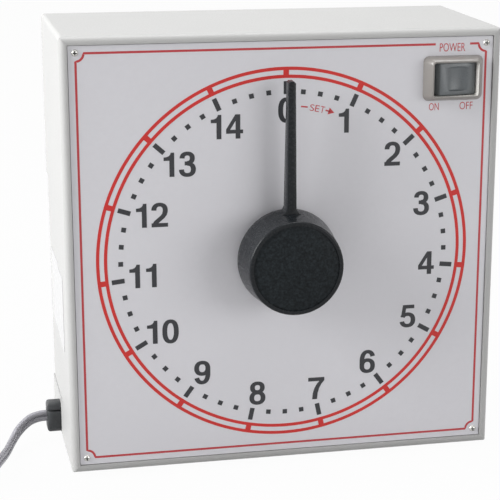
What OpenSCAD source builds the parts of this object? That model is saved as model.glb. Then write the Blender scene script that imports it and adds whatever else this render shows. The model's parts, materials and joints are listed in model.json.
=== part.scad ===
// Fifteen-minute bench timer: a moulded case with a printed face plate, a knob with a long
// pointer, a geared movement hung behind the plate, a rocker switch and a mains lead.
// Millimetres. +Z is up, the dial faces -Y, and the feet stand on z = 0.

/* [Case] */
// Width of the case
case_w = 203.2; // [190:0.1:240]
// Height of the case without its feet
case_h = 203.2; // [190:0.1:240]
// Depth of the case from its front rim to its rear edge
case_d = 88.9; // [84:0.1:120]
// Thickness of the case walls, and so the width of the front rim
case_wall = 3.7; // [3.2:0.1:5]
// Radius of the four long edges, which show as the corners from the front
corner_r = 2; // [1:0.1:6]
// Radius of the rounded front edge
rim_r = 3; // [1:0.1:3.1]
// Radius of the corners of the front opening and of the face plate
inner_r = 0.5; // [0.3:0.1:2]
// Radius of the screw bosses in the corners
boss_r = 4.2; // [3.4:0.1:5]
// Length of each screw boss
boss_l = 20; // [12:0.5:24]
// Thickness of the stiffening ribs inside the walls
rib_t = 2; // [1.2:0.1:3]
// Height of the stiffening ribs above the wall
rib_h = 5; // [2:0.1:6]
// Depth of the shallow panels in the two sides
side_panel_cut = 0.6; // [0.2:0.1:1]
// Distance from the front rim to the front edge of the side panels
side_panel_from = 42.5; // [30:0.5:60]
// Height of the side panels
side_panel_h = 105; // [60:1:140]

/* [Rear cover and feet] */
// Thickness of the rear cover
cover_t = 3; // [2:0.1:4]
// Spacing of the two hanging slots
hang_spacing = 100; // [60:1:140]
// Radius of the wide end of a hanging slot
hang_head_r = 4.6; // [3.5:0.1:6]
// Radius of the narrow end of a hanging slot
hang_neck_r = 2.2; // [1.5:0.1:3]
// Distance from the wide end to the narrow end of a hanging slot
hang_drop = 9; // [7:0.5:14]
// Number of sound slots in the rear cover
vent_count = 7; // [3:1:9]
// Width of a sound slot
vent_w = 2.4; // [1.5:0.1:4]
// Height of a sound slot
vent_h = 26; // [12:1:40]
// Radius of a rubber foot
foot_r = 7; // [5:0.5:10]
// Height of a rubber foot below the case
foot_h = 2.5; // [1.5:0.1:5]
// Distance of a foot's centre from the side of the case
foot_in = 17; // [15:1:30]

/* [Face plate] */
// Thickness of the face plate
plate_t = 1.6; // [1:0.1:2.5]
// Distance of the plate's face behind the front rim
plate_set = 0.8; // [0.2:0.1:2]
// Clearance round the face plate and the rear cover
plate_gap = 0.3; // [0.1:0.05:0.6]
// Distance of a plate screw from the plate's edge
screw_in = 3.1; // [2.6:0.1:4]
// Radius of a screw shank
screw_r = 1; // [0.8:0.05:1.3]
// Radius of a screw head
screw_head_r = 1.6; // [1.5:0.1:2.5]
// Height of a screw head
screw_head_h = 0.9; // [0.5:0.1:1.5]
// Distance of the dial's centre below the plate's centre
dial_drop = 1.8; // [0:0.1:4]

/* [Knob and pointer] */
// Radius of the knob at its front
knob_r = 21.8; // [18:0.1:26]
// Extra radius of the knob at its base
knob_flare = 1.8; // [0:0.1:3]
// Distance from the plate to the knob's front
knob_h = 24.4; // [22:0.1:30]
// Gap between the plate and the back of the knob
knob_lift = 5; // [4.5:0.1:7]
// Wall thickness of the knob
knob_wall = 2.4; // [1.6:0.1:3]
// Radius of the boss inside the knob
knob_boss_r = 7; // [5.5:0.1:9]
// Width of the raised ring round the knob's inlaid disc
knob_ring = 2; // [1:0.1:3]
// Thickness of the inlaid disc
disc_t = 0.8; // [0.5:0.1:1.5]
// Distance of the disc's face behind the ring
disc_set = 0.4; // [0.1:0.1:1]
// Distance from the dial's centre to the pointer's tip
pointer_reach = 83; // [70:0.5:90]
// Width of the pointer at the knob
pointer_root_w = 4.3; // [3:0.1:6]
// Width of the pointer at its tip
pointer_tip_w = 3.1; // [1.5:0.1:4]
// Thickness of the pointer at the knob, front to back
pointer_t = 8; // [6:0.1:10]
// Thickness of the pointer at its tip
pointer_tip_t = 5.5; // [3:0.1:6]
// Distance of the pointer's back in front of the knob's rear edge
pointer_set = 0.3; // [0.1:0.1:2]
// Radius of the fillets where the pointer meets the knob
pointer_fillet = 4.5; // [1:0.1:6]

/* [Arbor and gears] */
// Radius of the arbor
arbor_r = 3.175; // [2.5:0.025:4]
// Radial clearance of a running fit
run_fit = 0.05; // [0.02:0.01:0.09]
// Gear module
gear_m = 1; // [0.9:0.05:1.1]
// Teeth on the main wheel
wheel_teeth = 45; // [40:1:48]
// Teeth on the motor pinion
pinion_teeth = 15; // [14:1:18]
// Backlash between the gears
backlash = 0.16; // [0.1:0.01:0.3]
// Thickness of the gears
gear_t = 2.5; // [1.5:0.1:3.5]
// Radius of the zero cam
cam_r = 12; // [10:0.1:13]
// Height of the cam's lobe
cam_lobe = 3.2; // [2:0.1:3.6]
// Thickness of the zero cam
cam_t = 3; // [2:0.1:4]

/* [Movement frame] */
// Width of the two movement plates
frame_w = 76; // [70:0.5:90]
// Thickness of the movement plates
frame_t = 1.5; // [1:0.1:2]
// Clear distance between the movement plates
frame_space = 26; // [26:0.1:32]
// Radius of the four pillars
pillar_r = 3; // [2.5:0.1:4]
// Radius of the threaded bushing
bushing_r = 6; // [5:0.1:7]
// Thickness of the bushing nut
nut_t = 3; // [2:0.1:3.5]
// Radius of the gearbox
gearbox_r = 24; // [22:0.1:26]
// Depth of the gearbox
gearbox_d = 9; // [6:0.1:12]
// Radius of the motor can
motor_r = 21; // [18:0.1:23]
// Depth of the motor can
motor_d = 16; // [12:0.1:20]

/* [Power switch] */
// Distance of the switch from the plate's right edge
switch_in = 18.9; // [17.5:0.1:24]
// Distance of the switch below the plate's top edge
switch_down = 18.9; // [17.5:0.1:22]
// Width of the opening in the bezel
well_w = 21.4; // [19.5:0.1:23]
// Height of the opening in the bezel
well_h = 15.5; // [14:0.1:17]
// Thickness of the bezel's wall at its front edge
bezel_lip = 1.1; // [1:0.1:2]
// How much further the bezel's base reaches to the left and right
bezel_spread = 2.5; // [1.5:0.1:3]
// How much further the bezel's base reaches up and down
bezel_rise = 1.5; // [0.5:0.1:2]
// Height of the bezel above the plate
bezel_h = 6; // [4:0.1:8]
// Distance from the bezel's front to the rocker's pivot
pivot_deep = 10.5; // [10:0.1:12]
// Angle of the rocker either side of its middle
rocker_tilt = 9; // [6:0.5:10]
// Radius of the rocker's pivot pins
rocker_pin_r = 1.5; // [1:0.1:2]

/* [Mains lead] */
// Width of the flat two-core cord
cord_w = 5.6; // [4.6:0.1:5.8]
// Thickness of the flat two-core cord
cord_t = 3; // [2.4:0.1:3.1]
// Height of the strain relief's outer block
relief_h = 15.4; // [14.8:0.1:18]
// Front-to-back size of the strain relief's outer block
relief_w = 10; // [9.8:0.1:14]
// Radius of the outer block's edges
relief_round = 2.6; // [1:0.1:3]
// How far the strain relief stands out of the case
relief_out = 6.9; // [5:0.1:9]
// Distance of the seam between its two halves below its top
relief_seam = 3.8; // [3:0.1:4.2]
// Width of the open seam between the two halves
seam_gap = 0.7; // [0.2:0.1:0.8]
// Radius of the strain relief's neck in the case wall
relief_neck_r = 4.8; // [4.4:0.1:4.9]
// Width of the plug
plug_w = 25; // [22:0.5:28]
// Thickness of the plug
plug_t = 18; // [17.5:0.1:18]
// Length of the plug's grip
plug_l = 22; // [18:0.5:28]
// Spacing of the plug's two blades
blade_spacing = 12.7; // [12:0.1:14]
// Length of the plug's blades
blade_l = 17.5; // [15:0.1:19]

/* [Hidden] */
$fn = 64;
eps = 0.05;                                     // how far a cutter runs past a face

// Places along Y, measured so that the knob's front and the rear cover lie equally far from 0
rim_y = (knob_h - plate_set - case_d) / 2;
face_y = rim_y + plate_set;
plate_back_y = face_y + plate_t;
rear_y = rim_y + case_d;
cover_y = rear_y - cover_t;

// Places along X and Z
side_x = case_w / 2;
mid_z = foot_h + case_h / 2;
top_z = foot_h + case_h;
dial_z = mid_z - dial_drop;
cavity_w = case_w - 2 * case_wall;
cavity_h = case_h - 2 * case_wall;
plate_w = cavity_w - 2 * plate_gap;
plate_h = cavity_h - 2 * plate_gap;
screw_x = plate_w / 2 - screw_in;
screw_z = plate_h / 2 - screw_in;
floor_z = foot_h + case_wall;                   // inner face of the case's bottom wall
rib_spacing = 60;
screw_l = 12;
screw_fit = 0.05;
fixed_fit = 0.02;
part_fit = 0.1;
side_panel_top = dial_z + 25.5;
hang_z = mid_z + 50;
vent_z = mid_z + 20;
foot_stem_r = 2;
foot_places = [for (sx = [-1, 1], y = [rim_y + foot_in, rear_y - foot_in]) [sx * (side_x - foot_in), y]];

// Movement, measured back from the face plate
front_plate_y = plate_back_y;
space_y = front_plate_y + frame_t;
rear_plate_y = space_y + frame_space;
back_y = rear_plate_y + frame_t;
frame_top = 42;                                 // above the dial's centre
frame_bottom = -50;
pillar_in = 5;                                  // pillar centre from the plate's edges
flange_t = 2;
collar_t = 2;
spring_h = 1.5;
end_play = 0.3;
collar_y = space_y + flange_t + end_play;
spring_y = collar_y + collar_t;
wheel_y = spring_y + spring_h;
wheel_hub_t = 6;
cam_y = wheel_y + wheel_hub_t + end_play;
cam_hub_t = 4.6;
centre_distance = gear_m * (wheel_teeth + pinion_teeth) / 2;
hub_r = 7;
nose_l = nut_t + 1;                             // bushing thread in front of the face plate
knob_y = face_y - knob_h;
knob_front_t = disc_t + disc_set + 2;           // thickness of the knob's front, with the disc's recess
knob_edge = 0.9;
knob_rib_t = 1.6;
pointer_back_y = face_y - knob_lift - pointer_set;
arbor_front_y = knob_y + knob_front_t + 1;
set_screw_r = 1.5;
set_screw_y = face_y - knob_h / 2;
spring_t = 0.5;
spring_r = hub_r + 2;
wheel_root_r = gear_m * (wheel_teeth - 2.5) / 2;
lobe_r = 1.5;
groove_cut = 0.55;
clip_t = 0.6;
clip_y = back_y + 0.3;
bearing_r = 5;
tenon_r = 1.95;
shaft_boss_r = 4.5;
pinion_shaft_r = 1.5;
motor_z = dial_z - centre_distance - 8;
motor_ear_x = gearbox_r + 5;
ear_t = 1.2;
buzzer_z = dial_z + 24;
buzzer_w = 30;
buzzer_h = 20;
buzzer_t = 4;                                   // thickness of the buzzer's iron
buzzer_d = 13;
buzzer_pole_x = 4;
buzzer_pole_r = 3.5;
buzzer_coil_w = 5;
reed_t = 0.6;
reed_w = 10;
terminal_count = 4;
terminal_pitch = 9.5;
terminal_d = 16;
terminal_h = 12;
terminal_bore_r = 1.6;
terminal_x = -rib_spacing + rib_t;

// Power switch
switch_at = [plate_w / 2 - switch_in, 0, mid_z + plate_h / 2 - switch_down];
pivot_y = face_y - bezel_h + pivot_deep;
body_fit = 0.2;
body_w = well_w + 4.2;
body_h = well_h + 2.5;
rocker_half = well_w / 2 - 0.5;
rocker_half_h = well_h / 2 - 0.3;
shoulder_x = 5.2;                               // half spacing of the rocker's two raised shoulders
shoulder_y = 8;                                 // shoulders in front of the pivot
dish_deep = 1.2;                                // finger dish between the shoulders
dish_rim = 1.8;                                 // rim that closes the dish above and below
well_back = 5.5;                                // well depth behind the pivot
body_back_y = pivot_y + well_back + 6;
pin_out = 1.1;                                  // how far the pins reach past the rocker's sides

// Zero switch above the cam
micro_w = 27.8;
micro_h = 15.9;
micro_t = 9.6;
micro_z = cam_r + cam_lobe + 5.8;               // underside of the switch above the dial's centre
lever_pin = [-11.5, micro_z - 1.6];
lever_t = 0.6;
lever_slope = -16;
lever_reach = 13;
plunger_out = 2.25;
stud_x = 8;
stud_r = 1.5;
stud_z = dial_z + micro_z + 8;
lever_pin_r = 0.8;
micro_y = cam_y + cam_t / 2 - micro_t / 2;

// Mains lead: the route is laid by hand on the surface that the case stands on
relief_z = floor_z + 6;
relief_y = rear_y - 33.25;
relief_pocket = 2;
seam_z = relief_z + relief_h / 2 - relief_seam;
plug_neck_l = 12;
cord_r = cord_w / 2;
lead_x = -side_x - relief_out;                  // where the cord leaves the strain relief
lead_route = [[lead_x + relief_pocket, relief_y, relief_z], [lead_x - 2.5, relief_y, relief_z],
    [lead_x - 8.5, relief_y - 1.5, relief_z - 1.7],
    for (p = [[14, 5.5, 8], [17.5, 11, 6], [21, 20, 4], [24.5, 29, 3], [28, 39, 3], [32, 50, 3.5]])
        [lead_x - p.x, relief_y - p.y, p.z]];
tail_route = [for (p = [[103, 24], [99.5, 14.5], [96, 5]]) [lead_x - p.x, relief_y - p.y, 9]];
coil_at = [lead_x - 67.5, relief_y - 37];
coil_pitch = 3.2;
coil_layer_turns = 4;
coil_in_r = 25.2;                               // centreline of the innermost turn
coil_out_r = coil_in_r + coil_pitch * coil_layer_turns;
coil_lift = 0.7;
coil_h = 2 * (cord_w + 0.1);
tie_t = 0.5;
tie_w = 6;
tie_angle = -100;

// ---------- shared shapes ----------

// Draws 2D children, X and Z as seen from the front, and extrudes them back from y0
module slab(y0, thick) {
    translate([0, y0 + thick, 0]) rotate([90, 0, 0]) linear_extrude(thick) children();
}

// Turns 2D children, radius and depth behind y0, about the front-to-back axis through x, z
module turned(x, y0, z) {
    translate([x, y0, z]) rotate([-90, 0, 0]) rotate_extrude() children();
}

module rod(x, y0, z, r, length) {
    translate([x, y0, z]) rotate([-90, 0, 0]) cylinder(r = r, h = length);
}

module rounded_rect(w, h, r) {
    square([w - 2 * r, h], center = true);
    square([w, h - 2 * r], center = true);
    for (sx = [-1, 1], sz = [-1, 1]) translate([sx * (w / 2 - r), sz * (h / 2 - r)]) circle(r);
}

// One side of a block's plan, half wide and d deep, with its front corner rounded
module half_plan(half, d, r) {
    translate([0, r]) square([half, d - r]);
    square([half - r, d]);
    translate([half - r, r]) intersection() {
        circle(r);
        translate([-r / 2, -r]) square([r * 1.5, 2 * r]);
    }
}

module plan(w, d, r) {
    translate([-w / 2, r]) square([w, d - r]);
    translate([r - w / 2, 0]) square([w - 2 * r, d]);
    for (s = [-1, 1]) translate([s * (w / 2 - r), r]) circle(r);
}

// Block whose long edges and front edge are both rounded, from y = 0 back to y = d
module soft_block(w, h, d, r, front_r) {
    intersection() {
        translate([-w / 2, 0, 0]) rotate([90, 0, 90]) linear_extrude(w)
            mirror([1, -1]) plan(h, d, front_r);
        translate([0, 0, -h / 2]) linear_extrude(h) plan(w, d, front_r);
        slab(-1, d + 2) rounded_rect(w, h, r);
    }
}

module at_corners(x, z) {
    for (sx = [-1, 1], sz = [-1, 1]) translate([sx * x, 0, mid_z + sz * z]) children();
}

// Screw along +Y with its domed head seated at y0
module screw(x, y0, z, length) {
    dome_r = (screw_head_r * screw_head_r + screw_head_h * screw_head_h) / (2 * screw_head_h);
    difference() {
        turned(x, y0, z) {
            square([screw_r, length]);
            intersection() {
                translate([0, dome_r - screw_head_h]) circle(dome_r);
                translate([0, -screw_head_h]) square([screw_head_r, screw_head_h]);
            }
        }
        for (a = [0, 90]) translate([x, y0 - screw_head_h, z]) rotate([0, a, 0])
            cube([screw_head_r, screw_head_h, screw_head_r / 4], center = true);
    }
}

module mirrored_y(y) {
    translate([0, y, 0]) mirror([0, 1, 0]) translate([0, -y, 0]) children();
}

// ---------- gears ----------

function inv(a) = tan(a) * 180 / PI - a;
function polar(r, a) = [r * cos(a), r * sin(a)];
function half_tooth(n, r) =
    let (pitch_r = gear_m * n / 2, base_r = pitch_r * cos(20), at = acos(min(1, base_r / r)))
    90 / n - backlash / 4 / pitch_r * 180 / PI + inv(20) - inv(at);

// One gear outline with a tooth pointing along the angle first
module gear_outline(n, first) {
    pitch_r = gear_m * n / 2;
    root_r = pitch_r - 1.25 * gear_m;
    flank_r = max(root_r, pitch_r * cos(20)) + 0.02;
    tip_r = pitch_r + 0.95 * gear_m;
    radii = [flank_r, (flank_r + tip_r) / 2, tip_r];
    polygon([for (i = [0:n - 1]) let (a = first + 360 * i / n) each concat(
        [polar(root_r, a - half_tooth(n, flank_r))],
        [for (r = radii) polar(r, a - half_tooth(n, r))],
        [for (k = [2:-1:0]) polar(radii[k], a + half_tooth(n, radii[k]))],
        [polar(root_r, a + half_tooth(n, flank_r))])]);
}

// ---------- swept cord ----------

function unit(v) = v / norm(v);
function heading(p, i) = unit(p[min(i + 1, len(p) - 1)] - p[max(i - 1, 0)]);
function ring(p, i, r, sides) =
    let (t = heading(p, i), s = unit(cross(t, [0, 0, 1])), u = cross(s, t), step = 360 / sides)
    [for (k = [0:sides - 1]) p[i] + r * (cos((k + 0.5) * step) * s + sin((k + 0.5) * step) * u)];

module swept(p, r, sides = 8) {
    last = len(p) - 1;
    polyhedron(
        points = [for (i = [0:last]) each ring(p, i, r, sides)],
        faces = concat(
            [[for (k = [0:sides - 1]) k]],
            [for (i = [0:last - 1], k = [0:sides - 1]) let (n = (k + 1) % sides)
                each [[i * sides + k, (i + 1) * sides + k, (i + 1) * sides + n],
                      [i * sides + k, (i + 1) * sides + n, i * sides + n]]],
            [[for (k = [sides - 1:-1:0]) last * sides + k]]));
}

// ---------- case ----------

module bosses_and_ribs() {
    deep = cover_y - plate_back_y;
    at_corners(screw_x, screw_z) {
        rod(0, plate_back_y, 0, boss_r, boss_l);
        rod(0, cover_y - boss_l, 0, boss_r, boss_l);
    }
    for (k = [-1:1], s = [-1, 1]) {
        translate([s * (cavity_w - rib_h) / 2, plate_back_y + deep / 2, mid_z + k * rib_spacing])
            cube([rib_h + 1, deep, rib_t], center = true);
        translate([k * rib_spacing, plate_back_y + deep / 2, mid_z + s * (cavity_h - rib_h) / 2])
            cube([rib_t, deep, rib_h + 1], center = true);
    }
}

module housing() {
    color("gainsboro") difference() {
        union() {
            difference() {
                translate([0, rim_y, mid_z]) soft_block(case_w, case_h, case_d, corner_r, rim_r);
                slab(rim_y - 1, case_d + 2) translate([0, mid_z]) rounded_rect(cavity_w, cavity_h, inner_r);
            }
            bosses_and_ribs();
        }
        at_corners(screw_x, screw_z) {
            rod(0, plate_back_y - eps, 0, screw_r + screw_fit, screw_l);
            rod(0, cover_y + eps - screw_l, 0, screw_r + screw_fit, screw_l);
        }
        for (s = [-1, 1]) translate([s * side_x, rim_y + side_panel_from, side_panel_top - side_panel_h])
            translate([-side_panel_cut, 0, 0]) cube([2 * side_panel_cut, case_d, side_panel_h]);
        translate([-side_x - 1, relief_y, relief_z]) rotate([0, 90, 0])
            cylinder(r = relief_neck_r, h = case_wall + 2);
        for (f = foot_places) translate([f.x, f.y, foot_h - 1]) cylinder(r = foot_stem_r, h = case_wall + 2);
    }
}

module hanging_slot() {
    circle(hang_head_r);
    translate([-hang_neck_r, 0]) square([2 * hang_neck_r, hang_drop]);
    translate([0, hang_drop]) circle(hang_neck_r);
}

module rear_cover() {
    color("whitesmoke") difference() {
        slab(cover_y, cover_t) difference() {
            translate([0, mid_z]) rounded_rect(plate_w, plate_h, inner_r);
            for (s = [-1, 1]) translate([s * hang_spacing / 2, hang_z]) hanging_slot();
            for (k = [0:vent_count - 1]) translate([(k - (vent_count - 1) / 2) * 2 * vent_w, vent_z])
                rounded_rect(vent_w, vent_h, vent_w / 2 - 0.01);
        }
        at_corners(screw_x, screw_z) {
            rod(0, cover_y - 1, 0, screw_r + screw_fit, cover_t + 2);
            rod(0, rear_y - screw_head_h, 0, screw_head_r + screw_fit, screw_head_h + 1);
        }
    }
}

module rear_cover_screws() {
    color("silver") mirrored_y(rear_y - screw_head_h)
        at_corners(screw_x, screw_z) screw(0, rear_y - screw_head_h, 0, screw_l + cover_t - screw_head_h - 1);
}

module rubber_feet() {
    color("#2b2b2b") for (f = foot_places) translate([f.x, f.y, 0]) rotate_extrude() {
        polygon([[0, 0], [foot_r - 0.8, 0], [foot_r, 0.8], [foot_r, foot_h], [0, foot_h]]);
        square([foot_stem_r - screw_fit, floor_z + 1]);
        translate([0, floor_z]) square([foot_stem_r + 1, 1.2]);
    }
}

// ---------- face plate ----------

module face_plate() {
    color("lightgrey") slab(face_y, plate_t) difference() {
        translate([0, mid_z]) rounded_rect(plate_w, plate_h, inner_r);
        for (sx = [-1, 1], sz = [-1, 1]) translate([sx * screw_x, mid_z + sz * screw_z])
            circle(screw_r + screw_fit);
        translate([0, dial_z]) circle(bushing_r + part_fit);
        translate([switch_at.x, switch_at.z]) square([body_w, body_h] + [2, 2] * body_fit, center = true);
    }
}

module face_screws() {
    color("silver") at_corners(screw_x, screw_z) screw(0, face_y, 0, screw_l + plate_t - 1);
}

// ---------- knob, pointer and what turns with them ----------

module knob_shell() {
    length = knob_h - knob_lift;
    turned(0, knob_y, dial_z) difference() {
        union() {
            polygon([[0, 0], [knob_r - knob_edge, 0], [knob_r, knob_edge], [knob_r + knob_flare, length],
                [knob_r + knob_flare - knob_wall, length], [knob_r - knob_wall, knob_front_t],
                [0, knob_front_t]]);
            translate([knob_r - knob_edge, knob_edge]) intersection() {
                circle(knob_edge);
                translate([-knob_edge, -knob_edge]) square([2 * knob_edge, knob_edge]);
            }
            square([knob_boss_r, knob_h - nose_l - 1]);
        }
        square([knob_r - knob_ring, disc_t + disc_set]);
    }
}

// Long blade that narrows to its tip, with a fillet on each side that runs into the drum
module pointer_outline() {
    drum = knob_r + knob_flare / 2;
    tip_cut = pointer_tip_w / 4;
    polygon([[-pointer_root_w / 2, drum - 2], [-pointer_tip_w / 2, pointer_reach - tip_cut],
        [tip_cut - pointer_tip_w / 2, pointer_reach], [pointer_tip_w / 2 - tip_cut, pointer_reach],
        [pointer_tip_w / 2, pointer_reach - tip_cut], [pointer_root_w / 2, drum - 2]]);
    x = pointer_root_w / 2 + pointer_fillet - 0.2;
    z = sqrt(pow(drum + pointer_fillet, 2) - x * x);
    for (s = [0, 1]) mirror([s, 0]) difference() {
        polygon([[0, drum - 1], [x, z] * drum / (drum + pointer_fillet), [x, z], [0, z]]);
        translate([x, z]) circle(pointer_fillet);
    }
}

// Pointer with an upright front face and a back that slopes forward to the tip
module pointer() {
    front_y = pointer_back_y - pointer_t;
    half = pointer_root_w + pointer_fillet;
    intersection() {
        slab(front_y, pointer_t) translate([0, dial_z]) pointer_outline();
        translate([-half, 0, dial_z]) rotate([90, 0, 90]) linear_extrude(2 * half)
            polygon([[front_y, 0], [front_y, pointer_reach], [front_y + pointer_tip_t, pointer_reach],
                [pointer_back_y, knob_r + knob_flare + pointer_fillet], [pointer_back_y, 0]]);
    }
}

module knob_pointer() {
    color("#26292c") difference() {
        union() {
            knob_shell();
            pointer();
            for (k = [0:5]) translate([0, knob_y + knob_front_t, dial_z]) rotate([0, 60 * k, 0])
                translate([knob_boss_r - 0.5, -0.5, -knob_rib_t / 2])
                cube([knob_r - knob_wall / 2 - knob_boss_r + 0.5, knob_h / 2, knob_rib_t]);
        }
        rod(0, arbor_front_y - end_play, dial_z, arbor_r + fixed_fit, knob_h);
        translate([0, set_screw_y, dial_z - knob_r - knob_flare - 1]) {
            cylinder(r = set_screw_r + 0.6, h = knob_wall + 3);
            cylinder(r = set_screw_r + fixed_fit, h = knob_r + knob_flare);
        }
    }
}

module knob_disc() {
    color("#2f3235") rod(0, knob_y + disc_set, dial_z, knob_r - knob_ring - fixed_fit, disc_t);
}

module knob_set_screw() {
    color("dimgray") translate([0, set_screw_y, dial_z - knob_boss_r]) difference() {
        cylinder(r = set_screw_r, h = knob_boss_r - arbor_r);
        translate([0, 0, -eps]) cylinder(r = set_screw_r / 2, h = set_screw_r, $fn = 6);
    }
}

module arbor() {
    groove = arbor_r - groove_cut;
    color("silver") turned(0, 0, dial_z) polygon([[0, arbor_front_y], [arbor_r - 0.4, arbor_front_y],
        [arbor_r, arbor_front_y + 0.4], [arbor_r, collar_y], [hub_r - 1, collar_y],
        [hub_r - 1, collar_y + collar_t], [arbor_r, collar_y + collar_t], [arbor_r, clip_y - screw_fit],
        [groove, clip_y - screw_fit], [groove, clip_y + clip_t + screw_fit],
        [arbor_r, clip_y + clip_t + screw_fit], [arbor_r, clip_y + clip_t + 1.5], [0, clip_y + clip_t + 1.5]]);
}

module clutch_spring() {
    inner = arbor_r + 2 * part_fit;
    color("goldenrod") turned(0, spring_y, dial_z) polygon([[inner, 0], [inner + 0.4, 0],
        [spring_r, spring_h - spring_t], [spring_r, spring_h], [spring_r - 0.5, spring_h], [inner, spring_t]]);
}

module main_wheel() {
    color("burlywood") difference() {
        union() {
            slab(wheel_y, gear_t) translate([0, dial_z]) gear_outline(wheel_teeth, -90);
            rod(0, wheel_y, dial_z, hub_r, wheel_hub_t);
        }
        rod(0, wheel_y - 1, dial_z, arbor_r + run_fit, wheel_hub_t + 2);
        for (k = [0:4]) rotate_about_dial(72 * k)
            rod(0, wheel_y - 1, dial_z + (wheel_root_r + hub_r) / 2,
                (wheel_root_r - hub_r) / 2 - 2, gear_t + 2);
    }
}

module rotate_about_dial(a) {
    translate([0, 0, dial_z]) rotate([0, a, 0]) translate([0, 0, -dial_z]) children();
}

module zero_cam() {
    tip = cam_r + cam_lobe - lobe_r;
    color("ivory") difference() {
        union() {
            slab(cam_y, cam_t) translate([0, dial_z]) {
                circle(cam_r);
                translate([0, tip]) circle(lobe_r);
                polygon([[-lobe_r, tip], [lobe_r, tip],
                    [3 * lobe_r, cam_r - 1.5], [-3 * lobe_r, cam_r - 1.5]]);
            }
            rod(0, cam_y, dial_z, hub_r, cam_t + cam_hub_t);
        }
        rod(0, cam_y - 1, dial_z, arbor_r + fixed_fit, cam_t + cam_hub_t + 2);
    }
}

module arbor_clip() {
    inner = arbor_r - groove_cut + fixed_fit;
    color("dimgray") slab(clip_y, clip_t) translate([0, dial_z]) difference() {
        circle(arbor_r + 2.6);
        circle(inner);
        translate([-inner + 0.4, -arbor_r - 4]) square([2 * inner - 0.8, arbor_r + 4]);
    }
}

// ---------- movement frame ----------

module front_bushing() {
    bore = arbor_r + run_fit;
    color("gold") turned(0, 0, dial_z) polygon([[bore, face_y - nose_l], [bushing_r - 0.5, face_y - nose_l],
        [bushing_r, face_y - nose_l + 0.5], [bushing_r, space_y], [bushing_r + 3, space_y],
        [bushing_r + 3, space_y + flange_t], [bore, space_y + flange_t]]);
}

module bushing_nut() {
    color("silver") slab(face_y - nut_t, nut_t) translate([0, dial_z]) difference() {
        circle(bushing_r + 3.8, $fn = 6);
        circle(bushing_r + fixed_fit);
    }
}

module frame_outline() {
    translate([0, dial_z + (frame_top + frame_bottom) / 2])
        rounded_rect(frame_w, frame_top - frame_bottom, 4);
}

module at_pillars() {
    for (sx = [-1, 1], z = [frame_bottom + pillar_in, frame_top - pillar_in])
        translate([sx * (frame_w / 2 - pillar_in), 0, dial_z + z]) children();
}

module movement_front_plate() {
    color("lightsteelblue") difference() {
        slab(front_plate_y, frame_t) frame_outline();
        rod(0, front_plate_y - 1, dial_z, bushing_r + part_fit, frame_t + 2);
        at_pillars() rod(0, front_plate_y - 1, 0, tenon_r + screw_fit, frame_t + 2);
    }
}

module movement_rear_plate() {
    color("lightsteelblue") {
        difference() {
            slab(rear_plate_y, frame_t) frame_outline();
            rod(0, rear_plate_y - 1, dial_z, bearing_r + fixed_fit, frame_t + 2);
            rod(0, rear_plate_y - 1, dial_z - centre_distance, shaft_boss_r + part_fit, frame_t + 2);
            at_pillars() rod(0, rear_plate_y - 1, 0, screw_r + screw_fit, frame_t + 2);
            for (s = [-1, 1])
                rod(s * motor_ear_x, rear_plate_y - 1, motor_z, screw_r + screw_fit, frame_t + 2);
        }
        for (s = [-1, 1]) {
            rod(s * stud_x, micro_y + micro_t, stud_z, stud_r * 2, rear_plate_y - micro_y - micro_t);
            rod(s * stud_x, micro_y + 1, stud_z, stud_r, micro_t);
        }
    }
}

module movement_pillars() {
    color("silver") at_pillars() difference() {
        union() {
            rod(0, space_y, 0, pillar_r, frame_space);
            rod(0, front_plate_y, 0, tenon_r, frame_t + 1);
        }
        rod(0, rear_plate_y - screw_l, 0, screw_r + screw_fit, screw_l + 1);
    }
}

module movement_screws() {
    color("silver") {
        mirrored_y(back_y) at_pillars() screw(0, back_y, 0, screw_l / 2);
        for (s = [-1, 1]) mirrored_y(back_y + ear_t)
            screw(s * motor_ear_x, back_y + ear_t, motor_z, ear_t + frame_t + 1);
    }
}

module rear_bearing() {
    bore = arbor_r + run_fit;
    color("gold") turned(0, rear_plate_y, dial_z) polygon([[bore, -1.2], [bearing_r + 2, -1.2],
        [bearing_r + 2, 0], [bearing_r, 0], [bearing_r, frame_t], [bore, frame_t]]);
}

// ---------- motor ----------

module gearbox() {
    color("silver") difference() {
        union() {
            rod(0, back_y, motor_z, gearbox_r, gearbox_d);
            slab(back_y, ear_t) translate([0, motor_z])
                rounded_rect(2 * motor_ear_x + 9, 10, 4);
            rod(0, rear_plate_y - 1, dial_z - centre_distance, shaft_boss_r, frame_t + 2);
        }
        rod(0, rear_plate_y - 2, dial_z - centre_distance, pinion_shaft_r + run_fit, frame_t + gearbox_d - 1);
        for (s = [-1, 1]) rod(s * motor_ear_x, back_y - 1, motor_z, screw_r + screw_fit, ear_t + 2);
    }
}

module motor_can() {
    color("darkgrey") {
        turned(0, back_y + gearbox_d, motor_z) difference() {
            mirror([0, 1]) translate([0, -motor_d]) half_plan(motor_r, motor_d, 2);
            translate([0, motor_d - 0.8]) square([motor_r * 0.6, 1]);
        }
        slab(back_y + gearbox_d, motor_d / 2) translate([-motor_r - 2, motor_z]) square([8, 14], center = true);
    }
}

module motor_pinion() {
    z = dial_z - centre_distance;
    color("burlywood") {
        slab(wheel_y - 0.5, gear_t + 1) translate([0, z]) gear_outline(pinion_teeth, 90 + 180 / pinion_teeth);
        rod(0, wheel_y - 1.5, z, pinion_shaft_r, back_y + gearbox_d - 3 - wheel_y);
    }
}

// ---------- zero switch ----------

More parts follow.
